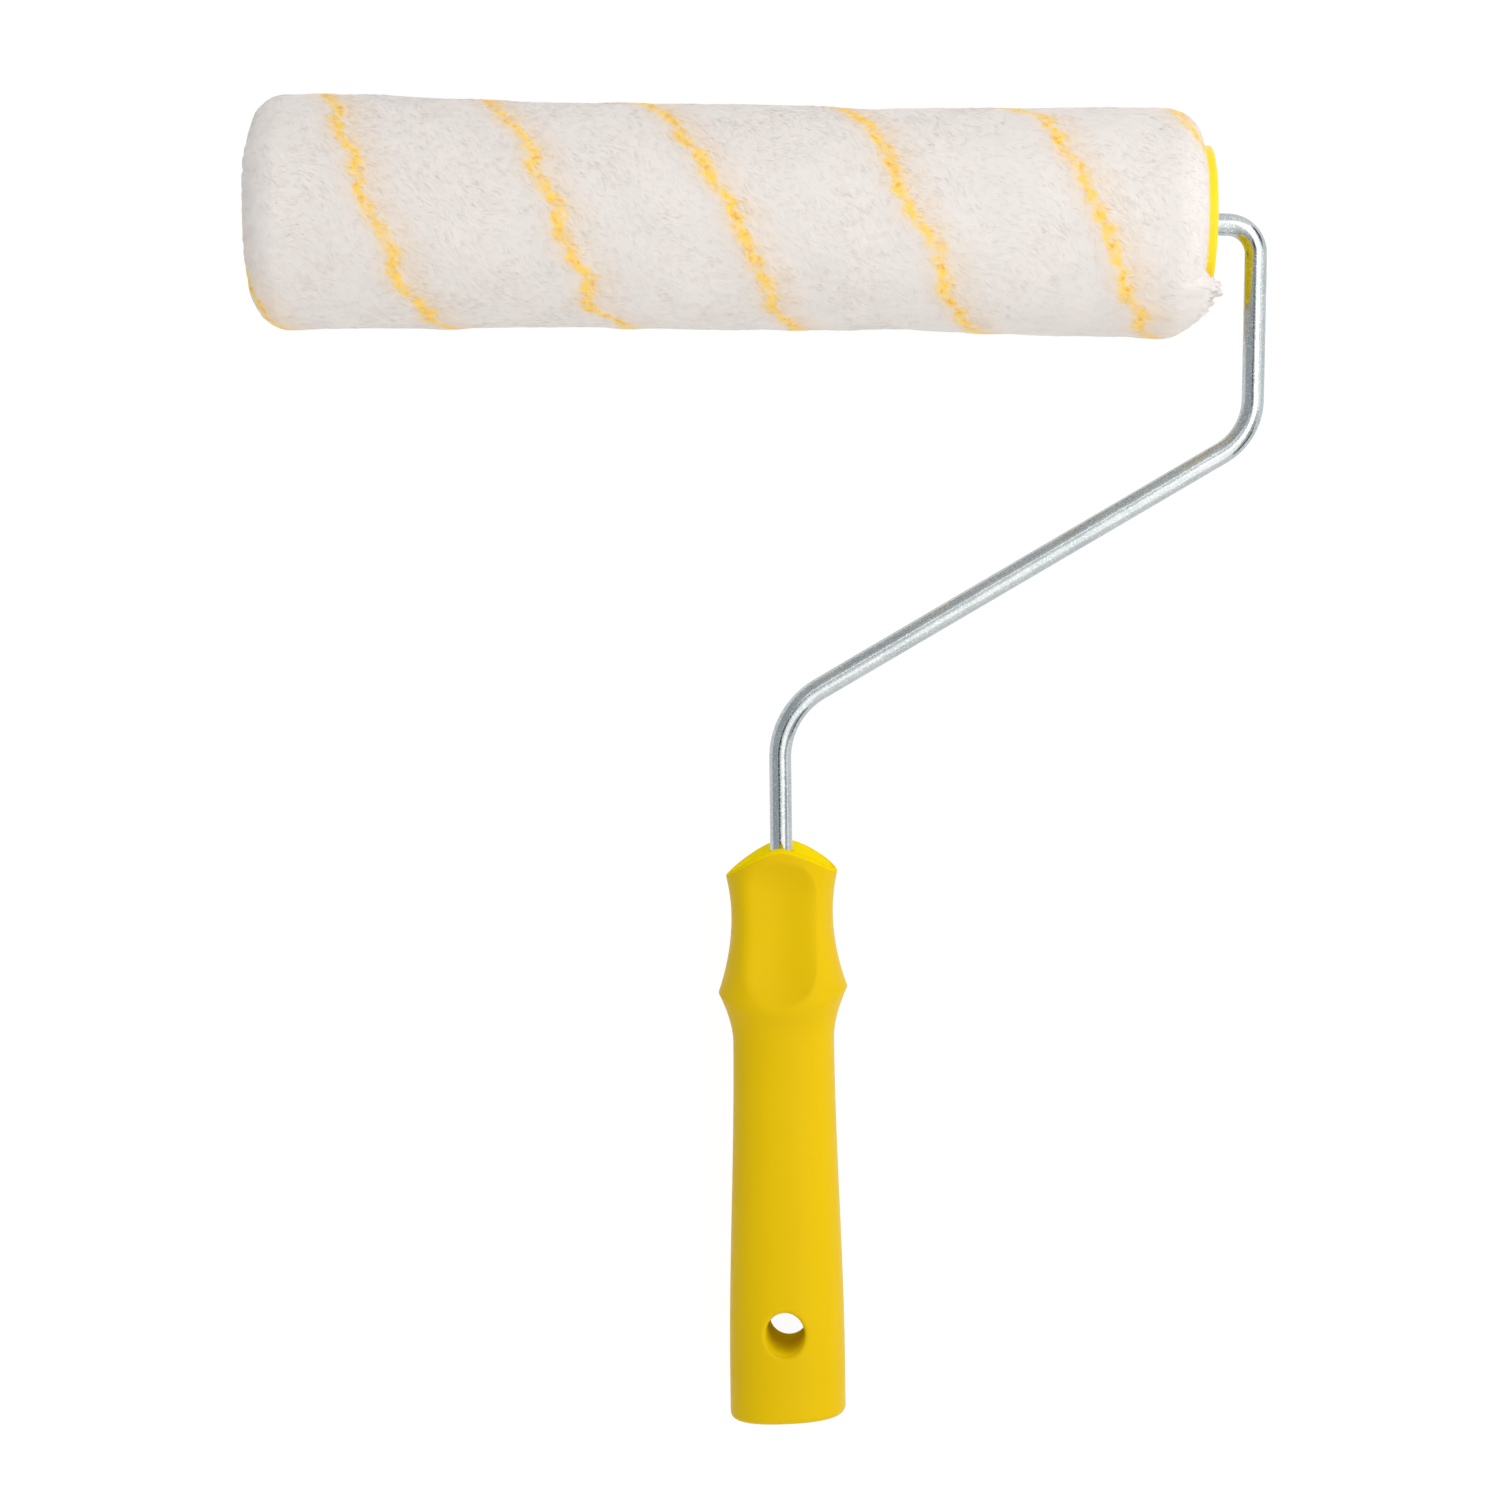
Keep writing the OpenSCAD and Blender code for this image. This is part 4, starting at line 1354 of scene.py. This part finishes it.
class ROLLER_OT_stage(bpy.types.Operator):
    """Sets up the pale floor, the soft light and the camera"""

    bl_idname = "roller.stage"
    bl_label = "Stage"

    def execute(self, context):
        scene = context.scene
        studio = scene.roller_studio
        mesh = bpy.data.meshes.new("floor")
        corners = [(x * FLOOR_REACH, y * FLOOR_REACH, 0.0) for x, y in ((-1, -1), (1, -1), (1, 1), (-1, 1))]
        mesh.from_pydata(corners, [], [(0, 1, 2, 3)])
        mesh.materials.append(floor_material())
        linked("floor", mesh)
        room_light(studio)
        middle = (CAD_LOW + CAD_HIGH) / 2
        soft_light("key", middle + KEY_PLACE, middle, KEY_SIZE, studio.key)
        soft_light("fill", middle + FILL_PLACE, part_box("near_end_cap")[1], FILL_SIZE, studio.fill)
        data = bpy.data.cameras.new("camera")
        data.lens = studio.lens
        data.sensor_width = SENSOR_MM
        camera = linked("camera", data)
        axle, _ = axle_line()
        camera.location = (studio.camera_x, studio.camera_y, axle.z + studio.camera_height)
        camera.rotation_euler = (0.0, 0.0, studio.camera_turn)
        scene.camera = camera
        scene.view_settings.view_transform = "Standard"
        return {"FINISHED"}


# ---------------------------------------------------------------- panel and registration

OPERATORS = (
    ROLLER_OT_stage,
    ROLLER_OT_handle,
    ROLLER_OT_wire_frame,
    ROLLER_OT_end_caps,
    ROLLER_OT_axle_hardware,
    ROLLER_OT_pile_cover,
    ROLLER_OT_pile_fibres,
)


class ROLLER_PT_build(bpy.types.Panel):
    """Sizes and colours of the roller, and a button for each step of its making"""

    bl_idname = "ROLLER_PT_build"
    bl_label = "Paint roller"
    bl_space_type = "VIEW_3D"
    bl_region_type = "UI"
    bl_category = "Roller"

    def draw(self, context):
        layout = self.layout
        for group in GROUPS:
            box = layout.box()
            box.label(text=group)
            settings = getattr(context.scene, group)
            for key in settings.bl_rna.properties.keys():
                if key not in ("rna_type", "name"):
                    box.prop(settings, key)
        for operator in OPERATORS:
            layout.operator(operator.bl_idname)


GROUPS = {
    "roller_handle": HandleSizes,
    "roller_wire": WireSizes,
    "roller_pile": PileSizes,
    "roller_colours": RollerColours,
    "roller_studio": StudioSettings,
}


def register():
    """Registers the settings, the operators and the panel."""
    for name, group in GROUPS.items():
        bpy.utils.register_class(group)
        setattr(bpy.types.Scene, name, PointerProperty(type=group))
    for operator in OPERATORS:
        bpy.utils.register_class(operator)
    bpy.utils.register_class(ROLLER_PT_build)


def unregister():
    """Removes what register added."""
    bpy.utils.unregister_class(ROLLER_PT_build)
    for operator in reversed(OPERATORS):
        bpy.utils.unregister_class(operator)
    for name, group in GROUPS.items():
        delattr(bpy.types.Scene, name)
        bpy.utils.unregister_class(group)


def main():
    """Builds the roller."""
    register()
    for operator in OPERATORS:
        family, step = operator.bl_idname.split(".")
        getattr(getattr(bpy.ops, family), step)()


if __name__ == "__main__":
    main()
